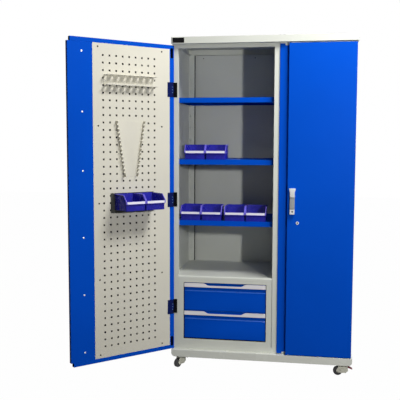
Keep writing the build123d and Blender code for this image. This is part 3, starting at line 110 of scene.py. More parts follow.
class Surface:
    """A principled surface on a new material, with the feeds that the finishes share."""

    def __init__(self, name: str) -> None:
        """Start the material and find its shader.

        Args:
            name: The material's name.
        """
        self.material = bpy.data.materials.new(name)
        self.material.use_nodes = True
        self.tree = self.material.node_tree
        self.shader = self.tree.nodes["Principled BSDF"]
        self.place = self.tree.nodes.new("ShaderNodeTexCoord").outputs["Object"]

    def keep(self, label: str, value: float | Sequence[float]) -> None:
        """Set one of the shader's own sockets to a value that is the same all over."""
        self.shader.inputs[label].default_value = value

    def feed(self, label: str, socket: Socket) -> None:
        """Join a pattern to one of the shader's sockets."""
        self.tree.links.new(socket, self.shader.inputs[label])

    def cloud(self, size: float, detail: float = 2.0, stretch: Sequence[float] = (1, 1, 1)) -> Socket:
        """A soft random pattern.

        Args:
            size: Width of one patch, in metres.
            detail: How many finer layers it has.
            stretch: How much it is drawn out along X, Y and Z.

        Returns:
            The pattern's value, about 0.5 on average.
        """
        spread = self.tree.nodes.new("ShaderNodeMapping")
        spread.inputs["Scale"].default_value = [1 / s for s in stretch]
        self.tree.links.new(self.place, spread.inputs["Vector"])
        noise = self.tree.nodes.new("ShaderNodeTexNoise")
        noise.inputs["Scale"].default_value = 1 / size
        noise.inputs["Detail"].default_value = detail
        self.tree.links.new(spread.outputs["Vector"], noise.inputs["Vector"])
        return noise.outputs["Fac"]

    def spread(
        self, value: Socket, low: float, high: float, start: float = 0.3, end: float = 0.7
    ) -> Socket:
        """Map a pattern's values between start and end onto low to high.

        Args:
            value: The pattern.
            low: Result at start.
            high: Result at end.
            start: Pattern value that gives low.
            end: Pattern value that gives high.

        Returns:
            The mapped value.
        """
        node = self.tree.nodes.new("ShaderNodeMapRange")
        node.inputs["From Min"].default_value = start
        node.inputs["From Max"].default_value = end
        node.inputs["To Min"].default_value = low
        node.inputs["To Max"].default_value = high
        self.tree.links.new(value, node.inputs["Value"])
        return node.outputs["Result"]

    def blend(self, value: Socket, first: Colour, second: Colour) -> Socket:
        """A colour that goes from first to second with a pattern."""
        node = self.tree.nodes.new("ShaderNodeMix")
        node.data_type = "RGBA"
        colour_a, colour_b = [socket for socket in node.inputs if socket.type == "RGBA"]
        colour_a.default_value = (*first, 1)
        colour_b.default_value = (*second, 1)
        self.tree.links.new(value, node.inputs[0])
        return next(socket for socket in node.outputs if socket.type == "RGBA")

    def grain(
        self, size: float, depth: float, strength: float, stretch: Sequence[float] = (1, 1, 1)
    ) -> None:
        """Roughen the surface with fine bumps.

        Args:
            size: Width of one bump, in metres.
            depth: Height of the bumps, in metres.
            strength: Share of that height that is used.
            stretch: How much the bumps are drawn out along X, Y and Z.
        """
        bump = self.tree.nodes.new("ShaderNodeBump")
        bump.inputs["Distance"].default_value = depth
        bump.inputs["Strength"].default_value = strength
        self.tree.links.new(self.cloud(size, 2.0, stretch), bump.inputs["Height"])
        self.feed("Normal", bump.outputs["Normal"])


def shaded(colour: Colour, share: float) -> Colour:
    """A colour made darker or lighter by a share of itself."""
    return (colour[0] * share, colour[1] * share, colour[2] * share)


@dataclass(frozen=True)
class PowderCoat:
    """Sprayed and baked powder paint: an even colour, faintly clouded, with a fine orange-peel grain."""

    name: str
    colour: Colour
    sheen: Sheen = Sheen.SATIN
    clouding: float = 0.035
    cloud_size: float = 0.30
    grain_size: float = 0.0016
    grain_depth: float = 0.00006
    mirror: float = 0.25
    hand_size: float = 0.08

    def material(self) -> bpy.types.Material:
        """Build the paint's material."""
        surface = Surface(self.name)
        patches = surface.spread(surface.cloud(self.cloud_size, 3.0), 0, 1)
        dull = shaded(self.colour, 1 - self.clouding)
        bright = shaded(self.colour, 1 + self.clouding)
        surface.feed("Base Color", surface.blend(patches, dull, bright))
        handled = surface.cloud(self.hand_size, 3.0)
        surface.feed("Roughness", surface.spread(handled, *self.sheen.around(0.04, 0.05)))
        surface.keep("Specular IOR Level", self.mirror)
        surface.grain(self.grain_size, self.grain_depth, 0.35)
        return surface.material


@dataclass(frozen=True)
class WornPaint:
    """Paint on small castings and pressings, rubbed through to dull steel in patches."""

    name: str
    colour: Colour
    bare: Colour = (0.16, 0.13, 0.09)
    chip_size: float = 0.009

    def material(self) -> bpy.types.Material:
        """Build the worn paint's material."""
        surface = Surface(self.name)
        chips = surface.spread(surface.cloud(self.chip_size, 4.0), 0, 1, 0.60, 0.68)
        surface.feed("Base Color", surface.blend(chips, self.colour, self.bare))
        surface.feed("Roughness", surface.spread(chips, 0.45, 0.62, 0, 1))
        surface.grain(0.0012, 0.00008, 0.5)
        return surface.material


@dataclass(frozen=True)
class MouldedPlastic:
    """Injection-moulded plastic, glossy on its rounded edges and a little uneven in its wall."""

    name: str
    colour: Colour
    sheen: Sheen = Sheen.GLOSSY
    glow: float = 0.0
    mirror: float = 0.4
    flow: float = 0.10
    glow_depth: float = 2 * MM

    def material(self) -> bpy.types.Material:
        """Build the plastic's material."""
        surface = Surface(self.name)
        flow = surface.spread(surface.cloud(0.03, 2.0), 0, 1)
        dull, bright = shaded(self.colour, 1 - self.flow), shaded(self.colour, 1 + self.flow)
        surface.feed("Base Color", surface.blend(flow, dull, bright))
        sink_marks = surface.cloud(0.012)
        surface.feed("Roughness", surface.spread(sink_marks, *self.sheen.around(0.03, 0.06)))
        surface.keep("Specular IOR Level", self.mirror)
        surface.keep("Subsurface Weight", self.glow)
        surface.keep("Subsurface Scale", self.glow_depth)
        surface.grain(0.0008, 0.00003, 0.3)
        return surface.material


@dataclass(frozen=True)
class BareMetal:
    """Plated, brushed or polished metal, with fine lines along one direction."""

    name: str
    colour: Colour
    sheen: Sheen = Sheen.SATIN
    lines: tuple[float, float, float] = (1, 1, 1)
    stained: float = 0.86

    def material(self) -> bpy.types.Material:
        """Build the metal's material."""
        surface = Surface(self.name)
        stain = surface.spread(surface.cloud(0.02, 4.0, self.lines), 0, 1)
        surface.feed("Base Color", surface.blend(stain, shaded(self.colour, self.stained), self.colour))
        surface.keep("Metallic", 1.0)
        brushing = surface.cloud(0.004, 3.0, self.lines)
        surface.feed("Roughness", surface.spread(brushing, *self.sheen.around(0.05, 0.08)))
        surface.grain(0.0006, 0.00002, 0.3, self.lines)
        return surface.material


@dataclass(frozen=True)
class TyreRubber:
    """Dull black rubber with dust in its grain."""

    name: str
    colour: Colour = (0.008, 0.008, 0.009)
    dust: Colour = (0.025, 0.024, 0.022)

    def material(self) -> bpy.types.Material:
        """Build the rubber's material."""
        surface = Surface(self.name)
        dusty = surface.spread(surface.cloud(0.010, 4.0), 0, 1, 0.45, 0.80)
        surface.feed("Base Color", surface.blend(dusty, self.colour, self.dust))
        surface.feed("Roughness", surface.spread(dusty, 0.55, 0.8, 0, 1))
        surface.grain(0.0010, 0.00010, 0.5)
        return surface.material


@dataclass(frozen=True)
class LabelCard:
    """Plain coated card in the bins' label holders."""

    name: str
    colour: Colour = (0.86, 0.85, 0.90)

    def material(self) -> bpy.types.Material:
        """Build the card's material."""
        surface = Surface(self.name)
        fibre = surface.spread(surface.cloud(0.003, 3.0), 0, 1)
        surface.feed("Base Color", surface.blend(fibre, shaded(self.colour, 0.95), self.colour))
        surface.keep("Roughness", 0.5)
        surface.grain(0.0005, 0.00002, 0.3)
        return surface.material


@dataclass
class PaintShop:
    """Every finish of the cabinet, made once each."""

    body_grey: Colour = (0.64, 0.655, 0.59)
    # A lighter copy of the body grey, as painted light on the base.
    base_grey_painted_light: Colour = (0.70, 0.71, 0.64)
    panel_cream: Colour = (0.68, 0.655, 0.555)
    door_blue: Colour = (0.001, 0.075, 0.55)
    bin_violet: Colour = (0.018, 0.017, 0.33)
    made: dict[str, bpy.types.Material] = field(default_factory=dict)

    def mix(self) -> None:
        """Make each finish's material."""
        finishes = (
            PowderCoat("body_paint", self.body_grey, mirror=0.5),
            # Lighter and glossier than the body paint: painted light on the base's ledge and front.
            PowderCoat("base_painted_light", self.base_grey_painted_light, Sheen.GLOSSY, mirror=0.5),
            PowderCoat("panel_paint", self.panel_cream, Sheen.SATIN, 0.025),
            PowderCoat("door_paint", self.door_blue, Sheen.SATIN, 0.03, mirror=0.02),
            # A lighter, glossier door blue: painted highlight on the drawer fronts' fold.
            PowderCoat("painted_fold_highlight", (0.03, 0.17, 0.80), Sheen.GLOSSY, 0.03, mirror=0.3),
            PowderCoat("drawer_paint", (0.42, 0.42, 0.40)),
            PowderCoat("hinge_black", (0.003, 0.003, 0.004), Sheen.SATIN, 0.1, 0.02, 0.0009, mirror=0.05),
            # The door blue darkened to navy: painted shade on the hinge leaves that sit on the doors.
            PowderCoat("hinge_navy_painted_shade", (0.004, 0.010, 0.080), Sheen.SATIN, 0.1, 0.02, 0.0009, mirror=0.05),
            # Dark grey for the bin plate: partly its own dark steel, partly painted shade from the bins.
            PowderCoat("backing_dark_and_shade", (0.055, 0.057, 0.050), Sheen.SATIN, 0.1, 0.05, mirror=0.15),
            # Near-black painted shade for faces in gaps, holes and hollows.
            PowderCoat("painted_gap_shade", (0.006, 0.006, 0.006), Sheen.MATT, 0.1, 0.05, mirror=0.02),
            PowderCoat("handle_paint", (0.70, 0.71, 0.71), Sheen.GLOSSY, 0.02, 0.03, 0.0007, 0.00002),
            PowderCoat("grip_paint", (0.30, 0.31, 0.32), Sheen.GLOSSY, 0.02, 0.03, 0.0007, 0.00002),
            WornPaint("caster_paint", (0.80, 0.79, 0.66)),
            MouldedPlastic("bin_plastic", self.bin_violet, Sheen.GLOSSY, 0.08, 0.15),
            # A lighter copy of the bin plastic: painted highlight on the rims and label holders.
            MouldedPlastic("bin_rim_painted_highlight", (0.16, 0.13, 0.66), Sheen.GLOSSY, 0.08, 0.3),
            MouldedPlastic("badge_gloss", (0.004, 0.004, 0.005), Sheen.POLISHED, mirror=0.08),
            MouldedPlastic("pedal_plastic", (0.14, 0.010, 0.016), Sheen.SATIN),
            MouldedPlastic("hub_plastic", (0.035, 0.035, 0.035), Sheen.SATIN),
            BareMetal("screw_blued", (0.10, 0.20, 0.38), Sheen.SATIN),
            BareMetal("pull_aluminium", (0.52, 0.51, 0.53), Sheen.SATIN, (8, 1, 1)),
            BareMetal("zinc_plate", (0.62, 0.61, 0.58), Sheen.SATIN),
            BareMetal("lock_chrome", (0.80, 0.80, 0.80), Sheen.POLISHED),
            BareMetal("key_shadow", (0.05, 0.05, 0.05), Sheen.SATIN),
            PowderCoat("screw_black", (0.05, 0.045, 0.035), Sheen.SATIN, 0.1, 0.02, mirror=0.2),
            TyreRubber("tyre_rubber"),
            LabelCard("label_card"),
        )
        for finish in finishes:
            self.made[finish.name] = finish.material()

    def coat(self, node: Piece, finish: str) -> None:
        """Give a node or piece one finish all over."""
        node.data.materials.clear()
        node.data.materials.append(self.made[finish])


# Forming steps


def corners_in(parts: Iterable[object]) -> list[bmesh.types.BMVert]:
    """The corners among the parts that a forming step gives back."""
    return [part for part in parts if isinstance(part, bmesh.types.BMVert)]


def drawn(corners: Iterable[Sequence[float]], shift: Sequence[float]) -> Form:
    """A bar whose flat end has the given corners, drawn out by a shift.

    Args:
        corners: The end's (x, y, z) corners, in order.
        shift: How far and which way it is drawn.

    Returns:
        The closed bar.
    """
    form = bmesh.new()
    face = form.faces.new([form.verts.new(corner) for corner in corners])
    grown = bmesh.ops.extrude_face_region(form, geom=[face])["geom"]
    bmesh.ops.translate(form, verts=corners_in(grown), vec=shift)
    bmesh.ops.recalc_face_normals(form, faces=form.faces)
    return form


def prism(outline: Iterable[Point], x0: float, x1: float) -> Form:
    """A bar along X, from x0 to x1, whose section is an outline of (y, z) points."""
    return drawn([(x0, y, z) for y, z in outline], (x1 - x0, 0, 0))


def slab(low: Sequence[float], high: Sequence[float]) -> Form:
    """A box between two corners."""
    form = bmesh.new()
    bmesh.ops.create_cube(form, size=1.0)
    size = [b - a for a, b in zip(low, high)]
    middle = [(a + b) / 2 for a, b in zip(low, high)]
    bmesh.ops.scale(form, vec=size, verts=form.verts)
    bmesh.ops.translate(form, vec=middle, verts=form.verts)
    return form


def lathe(profile: Iterable[Point], steps: int = 32) -> Form:
    """A turned piece round the Z axis.

    Args:
        profile: (radius, height) points; the ends lie on the axis or meet each other.
        steps: Faces round the turn.

    Returns:
        The closed turned piece.
    """
    form = bmesh.new()
    points = [form.verts.new((radius, 0, height)) for radius, height in profile]
    lines = [form.edges.new(pair) for pair in zip(points, points[1:])]
    turn = {"cent": (0, 0, 0), "axis": (0, 0, 1), "angle": FULL_TURN, "steps": steps, "use_merge": True}
    bmesh.ops.spin(form, geom=points + lines, **turn)
    bmesh.ops.remove_doubles(form, verts=form.verts, dist=MM / 1000)
    bmesh.ops.recalc_face_normals(form, faces=form.faces)
    return form


def round_edges(form: Form, width: float, segments: int = 2, over: float = 30) -> None:
    """Round the corners of a form.

    Args:
        form: What is rounded.
        width: Width of the rounding, in metres.
        segments: Steps in it.
        over: The least corner, in degrees, that is rounded.
    """
    limit = math.radians(over)
    corners = [e for e in form.edges if len(e.link_faces) == 2 and e.calc_face_angle(0) > limit]
    bmesh.ops.bevel(
        form,
        geom=corners,
        offset=width,
        offset_type="OFFSET",
        affect="EDGES",
        segments=segments,
        profile=0.5,
        material=-1,
        clamp_overlap=True,
    )


def stood(place: Sequence[float], quarters: int) -> Matrix:
    """A frame at a place, turned about X by quarters: by 1 its Z faces front, and by -1 back."""
    return Matrix.Translation(place) @ Matrix.Rotation(quarters * QUARTER_TURN, 4, "X")


def moved(form: Form, place: Matrix) -> Form:
    """Turn and shift a form, and give it back."""
    bmesh.ops.transform(form, matrix=place, verts=form.verts)
    return form


def joined(forms: Iterable[Form]) -> Form:
    """Put several forms into one and free them."""
    whole = bmesh.new()
    for form in forms:
        mesh = bpy.data.meshes.new("part")
        form.to_mesh(mesh)
        form.free()
        whole.from_mesh(mesh)
        bpy.data.meshes.remove(mesh)
    return whole


def copy_of(node: Piece) -> Form:
    """A node's mesh as one closed skin, with its flat faces whole again."""
    form = bmesh.new()
    form.from_mesh(node.data)
    bmesh.ops.remove_doubles(form, verts=form.verts, dist=MM / 200)
    bmesh.ops.dissolve_limit(form, angle_limit=math.radians(1), verts=form.verts, edges=form.edges)
    return form


@dataclass
class Workshop:
    """What every sub-assembly is built with: the frame, the finishes and the joints."""

    nodes: dict[str, Piece]
    joints: dict[str, dict]
    paint: PaintShop

    def piece(
        self, name: str, form: Form, finish: str, body: str, slot: str, crease: float = 28, node: str = ""
    ) -> Piece:
        """Turn a form into a finished piece that rides on a body.

        Args:
            name: The piece's name.
            form: Its shape, in place.
            finish: The finish it gets.
            body: The body it moves with.
            slot: The record's material slot; not used.
            crease: Corners sharper than this, in degrees, stay sharp.
            node: The node it stands for, if any.

        Returns:
            The new object.
        """
        limit = math.radians(crease)
        for face in form.faces:
            face.smooth = True
        for edge in form.edges:
            edge.smooth = len(edge.link_faces) == 2 and edge.calc_face_angle(0) < limit
        mesh = bpy.data.meshes.new(name)
        form.to_mesh(mesh)
        form.free()
        made = bpy.data.objects.new(name, mesh)
        bpy.context.scene.collection.objects.link(made)
        self.paint.coat(made, finish)
        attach(made, body)
        if node:
            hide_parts(node)
        LOG.info("%s: %d faces on %s", name, len(mesh.polygons), body)
        return made

    def folded(self, node: str, finish: str, body: str, slot: str, width: float, over: float = 30) -> Piece:
        """Remake a sheet-metal node with its folds and cut edges rounded.

        Args:
            node: The node it stands for.
            finish: The finish it gets.
            body: The body it moves with.
            slot: The record's material slot.
            width: Width of the rounding, in metres.
            over: The least corner, in degrees, that is rounded.

        Returns:
            The new object.
        """
        form = copy_of(self.nodes[node])
        round_edges(form, width, 2, over)
        return self.piece(node + "_folded", form, finish, body, slot, 20, node)

    def tint(self, made: Piece, finish: str, chosen: Callable[[Face], bool]) -> None:
        """Give some faces of a piece another finish.

        Args:
            made: The piece.
            finish: The other finish.
            chosen: Which faces get it.
        """
        made.data.materials.append(self.paint.made[finish])
        last = len(made.data.materials) - 1
        for face in made.data.polygons:
            if chosen(face):
                face.material_index = last

    def pivot(self, joint: str) -> Vector:
        """Where a joint turns."""
        return Vector(self.joints[joint]["pos_m"])

    def shut_to_rest(self, joint: str) -> Matrix:
        """How a door moves from shut to its resting place."""
        turn = self.joints[joint]
        pivot = Vector(turn["pos_m"])
        angle = -math.radians(turn["range_deg"][0])
        swing = Matrix.Rotation(angle, 4, Vector(turn["axis"]))
        return Matrix.Translation(pivot) @ swing @ Matrix.Translation(-pivot)

    def shut_box(self, node: str, joint: str) -> tuple[Vector, Vector]:
        """A door node's lowest and highest corners with the door shut."""
        back = self.shut_to_rest(joint).inverted()
        points = [back @ corner.co for corner in self.nodes[node].data.vertices]
        low = Vector([min(p[i] for p in points) for i in range(3)])
        high = Vector([max(p[i] for p in points) for i in range(3)])
        return low, high


# Cabinet body


@dataclass
class CabinetBody:
    """The carcass: base, walls, back, roof, rails, posts and the bare badge plate."""

    shop: Workshop
    fold: float = 0.7 * MM
    gap_depth: float = 40 * MM
    rivet_radius: float = 3.0 * MM
    rivet_height: float = 0.8 * MM
    rivet_drop: float = 17 * MM
    rivet_inset: float = 85 * MM
    rivet_pitch: float = 320 * MM
    sheets: tuple[str, ...] = (
        "floor_panel",
        "left_side_panel",
        "right_side_panel",
        "back_panel",
        "frame_rails",
        "centre_partition",
        "shelf_uprights",
    )

    def build(self) -> None:
        """Build and dress the carcass."""
        for node in self.sheets:
            made = self.shop.folded(node, "body_paint", "cabinet", "light_paint", self.fold)
            if node == "shelf_uprights":
                # The back channels' sides in the narrow gap beside the back panel get painted shade.
                self.shop.tint(made, "painted_gap_shade", self.faces_the_gap)
        # The base gets the lighter copy of the body paint as painted light.
        self.shop.folded("base_frame", "base_painted_light", "cabinet", "light_paint", 2 * self.fold)
        self.shop.folded("top_cap", "body_paint", "cabinet", "light_paint", 2 * self.fold)
        self.shop.folded("badge_plate", "badge_gloss", "cabinet", "badge_black", 0.6 * self.fold)
        self.rivets()

    def faces_the_gap(self, face: Face) -> bool:
        """Whether a face of the uprights is a side of a back channel, in the narrow gap beside it."""
        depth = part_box("back_panel")[0].y - face.center.y
        return abs(face.normal.x) > SQUARE_ON and depth < self.gap_depth

    def rivets(self) -> None:
        """Blind rivets that hold the back panel below the roof."""
        low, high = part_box("back_panel")
        wide, tall = self.rivet_radius, self.rivet_height
        head = [(0, tall), (0.6 * wide, 0.9 * tall), (wide, 0), (0, 0)]
        z = high.z - self.rivet_drop
        left, right = low.x + self.rivet_inset, high.x - self.rivet_inset
        forms = []
        for x in (left, left + self.rivet_pitch, right - self.rivet_pitch, right):
            forms.append(moved(lathe(head, 14), stood((x, low.y, z), 1)))
        self.shop.piece("back_panel_rivets", joined(forms), "key_shadow", "cabinet", "zinc_steel")


@dataclass
class Shelving:
    """The folded shelves and the clips below them."""

    shop: Workshop
    fold: float = 0.5 * MM

    def build(self) -> None:
        """Build and dress the shelves."""
        for node in ("lower_shelf", "middle_shelf", "top_shelf", "right_shelves"):
            self.shop.folded(node, "door_paint", "cabinet", "blue_paint", self.fold)
        self.shop.folded("shelf_clips", "zinc_plate", "cabinet", "zinc_steel", 0.8 * MM)


@dataclass
class DrawerUnit:
    """The carcass round the drawers, its tray top, and the two drawers."""

    shop: Workshop
    fold: float = 0.6 * MM
    pull_round: float = 0.7 * MM
    fold_drop: float = 26 * MM
    step_back: float = 6 * MM
    seam: float = 1.8 * MM
    opening_reach: float = 6 * MM
    dip_half: float = 86 * MM
    dip_ramp: float = 38 * MM

    def build(self) -> None:
        """Build and dress the housing and both drawers."""
        housing = self.shop.folded("drawer_housing", "body_paint", "cabinet", "light_paint", self.fold)
        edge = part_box("drawer_housing")[1].x - self.seam / 2
        for vert in housing.data.vertices:
            if vert.co.x > edge:
                vert.co.x -= self.seam
        low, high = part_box("upper_drawer_front")
        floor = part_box("lower_drawer_front")[0].z
        reach = self.opening_reach

        def in_opening(face: Face) -> bool:
            """Whether a face lines the opening that the drawers slide in."""
            x, _, z = face.center
            inside = low.x - reach < x < high.x + reach and floor - reach < z < high.z + reach
            return inside and abs(face.normal.y) < 0.5

        # The faces lining the drawer opening get painted shade, for the dark gaps round the drawers.
        self.shop.tint(housing, "painted_gap_shade", in_opening)
        self.shop.folded("drawer_deck", "body_paint", "cabinet", "light_paint", self.fold, 60)
        self.shop.folded("drawer_rails", "zinc_plate", "cabinet", "zinc_steel", self.fold)
        for drawer in ("upper_drawer", "lower_drawer"):
            self.drawer(drawer)

    def drawer(self, name: str) -> None:
        """Build and dress one drawer."""
        self.shop.folded(name + "_tub", "drawer_paint", name, "drawer_grey", 0.4 * MM)
        self.front(name)
        self.pull(name)
        self.shop.folded(name + "_runners", "zinc_plate", name, "zinc_steel", 0.8 * MM)

    def pull(self, name: str) -> None:
        """The pull strip, whose upper edge runs down to the finger dip in long ramps."""
        low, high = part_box(name + "_handle")
        middle = (low.x + high.x) / 2
        form = copy_of(self.shop.nodes[name + "_handle"])
        ramps = [v for v in form.verts if abs(v.co.x - middle) < 0.8 * (high.x - middle)]
        reaches = [abs(v.co.x - middle) for v in ramps]
        near, far = min(reaches), max(reaches)
        for vert in ramps:
            share = (abs(vert.co.x - middle) - near) / (far - near)
            vert.co.x = middle + math.copysign(self.dip_half + share * self.dip_ramp, vert.co.x - middle)
        round_edges(form, self.pull_round, 2, 60)
        node = name + "_handle"
        self.shop.piece(node + "_folded", form, "pull_aluminium", name, "silver_strip", 20, node)

    def front(self, name: str) -> None:
        """The folded front: flat below the fold, and set back above it behind the pull strip."""
        low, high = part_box(name + "_front")
        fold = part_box(name + "_handle")[0].z - self.fold_drop
        recess = low.y + self.step_back
        outline = [(high.y, low.z), (low.y, low.z), (low.y, fold), (recess, fold + self.step_back)]
        outline += [(recess, high.z), (high.y, high.z)]
        form = prism(outline, low.x, high.x)
        round_edges(form, self.fold, 2, 12)
        node = name + "_front"
        made = self.shop.piece(node + "_folded", form, "door_paint", name, "blue_paint", 20, node)
        # The front's sides, back and underside get painted shade in the gaps round it.
        self.shop.tint(made, "painted_gap_shade", lambda face: face.normal.y > -0.2 and face.normal.z < 0.8)
        # The chamfer above the fold gets a lighter blue as a painted highlight.
        self.shop.tint(made, "painted_fold_highlight", lambda face: face.normal.y < -0.3 and face.normal.z > 0.3)


# Storage bins


@dataclass
class StorageBin:
    """One open-fronted bin with a flared rim, a label holder and stiffening ribs."""

    width: float = 109 * MM
    rim: float = 4.0 * MM
    length: float = 136 * MM
    height: float = 83 * MM
    wall: float = 2.2 * MM
    front_height: float = 50 * MM
    label_height: float = 15 * MM
    front_inset: float = 7 * MM
    mouth_run: float = 30 * MM
    rib_width: float = 2.4 * MM
    rib_depth: float = 1.3 * MM
    label_lip: float = 1.6 * MM
    lip_depth: float = 1.1 * MM
    card: float = 0.5 * MM
    card_hold: float = 0.3 * MM
    edge: float = 0.8 * MM
    rim_round: float = 1.2 * MM
    lip_round: float = 0.4 * MM
    rib_round: float = 0.5 * MM
    rib_shares: tuple[float, float] = (0.42, 0.68)

    def tub(self) -> Form:
        """The open tub, with its front towards -Y, standing on Z = 0 and centred on X = 0."""
        label_low = self.front_height - self.label_height
        outline = [
            (self.front_inset, 0),
            (self.front_inset, label_low - self.front_inset),
            (0, label_low),
            (0, self.front_height),
            (self.mouth_run, self.height),
            (self.length, self.height),
            (self.length, 0),
        ]
        form = prism(outline, -self.width / 2, self.width / 2)
        reach = (self.front_height + self.height) / 2 - self.wall
        upper = [f for f in form.faces if f.calc_center_median().z > reach]
        mouth = [f for f in upper if abs(f.normal.x) < 0.5 and f.normal.z > 0.3]
        bmesh.ops.delete(form, geom=mouth, context="FACES")
        bmesh.ops.solidify(form, geom=form.faces[:], thickness=self.wall)
        bmesh.ops.recalc_face_normals(form, faces=form.faces)
        round_edges(form, self.edge)
        return form

    def rim_bar(self, side: int) -> Form:
        """The flared rim along one side's top edge. side is -1 or 1."""
        deep = 2 * self.wall
        label_low = self.front_height - self.label_height
        outline = [
            (0, self.front_height),
            (self.mouth_run, self.height),
            (self.length, self.height),
            (self.length, self.height - deep),
            (self.mouth_run + self.wall, self.height - deep),
            (deep, self.front_height - self.wall / 2),
            (deep, label_low),
            (0, label_low),
        ]
        near = side * self.width / 2 - side * self.wall / 2
        far = side * (self.width / 2 + self.rim)
        form = prism(outline, min(near, far), max(near, far))
        round_edges(form, self.rim_round, 3)
        return form

    def label_holder(self) -> list[Form]:
        """The lips above and below the label, and the stops at its ends."""
        half, lip = self.width / 2, self.label_lip
        top = self.front_height
        low = top - self.label_height
        forms = []
        for x0, x1, z0, z1 in (
            (-half, half, low, low + lip),
            (-half, half, top - lip, top),
            (-half, -half + 2 * lip, low, top),
            (half - 2 * lip, half, low, top),
        ):
            bar = slab((x0, -self.lip_depth, z0), (x1, self.wall / 2, z1))
            round_edges(bar, self.lip_round)
            forms.append(bar)
        return forms

    def ribs(self) -> list[Form]:
        """Upright ribs on the two sides."""
        forms = []
        for side in (-1, 1):
            near = side * (self.width / 2 - self.wall / 2)
            far = side * (self.width / 2 + self.rib_depth)
            x0, x1 = sorted((near, far))
            for share in self.rib_shares:
                y = share * self.length
                rib = slab((x0, y, 1 * MM), (x1, y + self.rib_width, self.height - 2 * self.wall))
                round_edges(rib, self.rib_round)
                forms.append(rib)
        return forms

    def form(self) -> Form:
        """The tub with its ribs."""
        return joined([self.tub(), *self.ribs()])

    def edges(self) -> Form:
        """The flared rims and the label holder, which are moulded on the tub."""
        return joined([self.rim_bar(-1), self.rim_bar(1), *self.label_holder()])

    def label(self) -> Form:
        """The plain card in the holder."""
        hold = self.label_lip - self.card_hold
        half = self.width / 2 - self.label_lip - hold
        low = self.front_height - self.label_height + hold
        high = self.front_height - hold
        return slab((-half, -self.card, low), (half, self.card / 2, high))


@dataclass
class BinSet:
    """The bins on the shelves and on the door's plate, each where its solid stands."""

    shop: Workshop
    bin: StorageBin = field(default_factory=StorageBin)

    def shelf_places(self) -> list[Matrix]:
        """Where each bin on a shelf stands."""
        boxes = self.solids("shelf_bins", Matrix.Identity(4))
        return [Matrix.Translation(((low.x + high.x) / 2, low.y, low.z)) for low, high in boxes]

    def door_places(self) -> list[Matrix]:
        """Where each bin on the door hangs, with its mouth into the cabinet when the door is shut."""
        swing = self.shop.shut_to_rest("left_door_hinge")
        boxes = self.solids("door_bins", swing.inverted())
        about = Matrix.Rotation(math.pi, 4, "Z")
        places = []
        for low, high in boxes:
            corner = Matrix.Translation(((low.x + high.x) / 2, high.y, low.z))
            places.append(swing @ corner @ about)
        return places

    def solids(self, node: str, back: Matrix) -> list[tuple[Vector, Vector]]:
        """The box of each separate solid of a node.

        Args:
            node: The node.
            back: What its points are moved by first.

        Returns:
            Lowest and highest corners, from left to right and from low to high.
        """
        form = copy_of(self.shop.nodes[node])
        bmesh.ops.transform(form, matrix=back, verts=form.verts)
        waiting = set(form.verts)
        boxes = []
        while waiting:
            group = {waiting.pop()}
            edge_of_group = list(group)
            while edge_of_group:
                corner = edge_of_group.pop()
                near = {e.other_vert(corner) for e in corner.link_edges} & waiting
                waiting -= near
                group |= near
                edge_of_group += near
            low = Vector([min(v.co[i] for v in group) for i in range(3)])
            high = Vector([max(v.co[i] for v in group) for i in range(3)])
            boxes.append((low, high))
        form.free()
        return sorted(boxes, key=lambda box: (round(box[0].z, 3), box[0].x))

    def build(self) -> None:
        """Build and dress the bins and their labels."""
        for name, body, places in (
            ("shelf_bins", "cabinet", self.shelf_places()),
            ("door_bins", "left_door", self.door_places()),
        ):
            mould = joined([moved(self.bin.form(), place) for place in places])
            self.shop.piece(name + "_moulded", mould, "bin_plastic", body, "bin_plastic", node=name)
            # The rims and label holders get the lighter plastic as a painted highlight.
            edges = joined([moved(self.bin.edges(), place) for place in places])
            self.shop.piece(name + "_rims", edges, "bin_rim_painted_highlight", body, "bin_plastic")
            cards = joined([moved(self.bin.label(), place) for place in places])
            self.shop.piece(name + "_labels", cards, "label_card", body, "light_paint")


# Doors


@dataclass
class PanHead:
    """A low domed screw head with a cross recess."""

    radius: float = 4.5 * MM
    height: float = 1.6 * MM
    recess: float = 0.9 * MM
    arm: float = 0.56
    ring: float = 0.6
    crown: float = 0.45

    def form(self) -> Form:
        """The head, its underside on Z = 0 and its recess towards +Z."""
        form = bmesh.new()
        bmesh.ops.create_grid(form, x_segments=5, y_segments=5, size=1.0)
        cross = []
        for face in form.faces:
            x, y = (abs(v) for v in face.calc_center_median().xy)
            if min(x, y) < 0.1 and max(x, y) < 0.5:
                cross.append(face)
        bmesh.ops.recalc_face_normals(form, faces=form.faces)
        for corner in form.verts:
            reach = max(abs(corner.co.x), abs(corner.co.y))
            inner = corner.co.xy * self.arm / self.ring
            outer = corner.co.xy.normalized()
            share = min(max((reach - self.ring) / (1 - self.ring), 0), 1)
            flat = inner.lerp(outer, share) * self.radius
            corner.co.xy = flat
            corner.co.z = self.height * (1 - self.crown * (flat.length / self.radius) ** 2)
        sunk = bmesh.ops.extrude_face_region(form, geom=cross)["geom"]
        bmesh.ops.delete(form, geom=cross, context="FACES_ONLY")
        bmesh.ops.translate(form, verts=corners_in(sunk), vec=(0, 0, -self.recess))
        border = [e for e in form.edges if e.is_boundary]
        skirt = bmesh.ops.extrude_edge_only(form, edges=border)["geom"]
        for corner in corners_in(skirt):
            corner.co.z = 0
        bmesh.ops.holes_fill(form, edges=[e for e in form.edges if e.is_boundary], sides=0)
        bmesh.ops.recalc_face_normals(form, faces=form.faces)
        return form


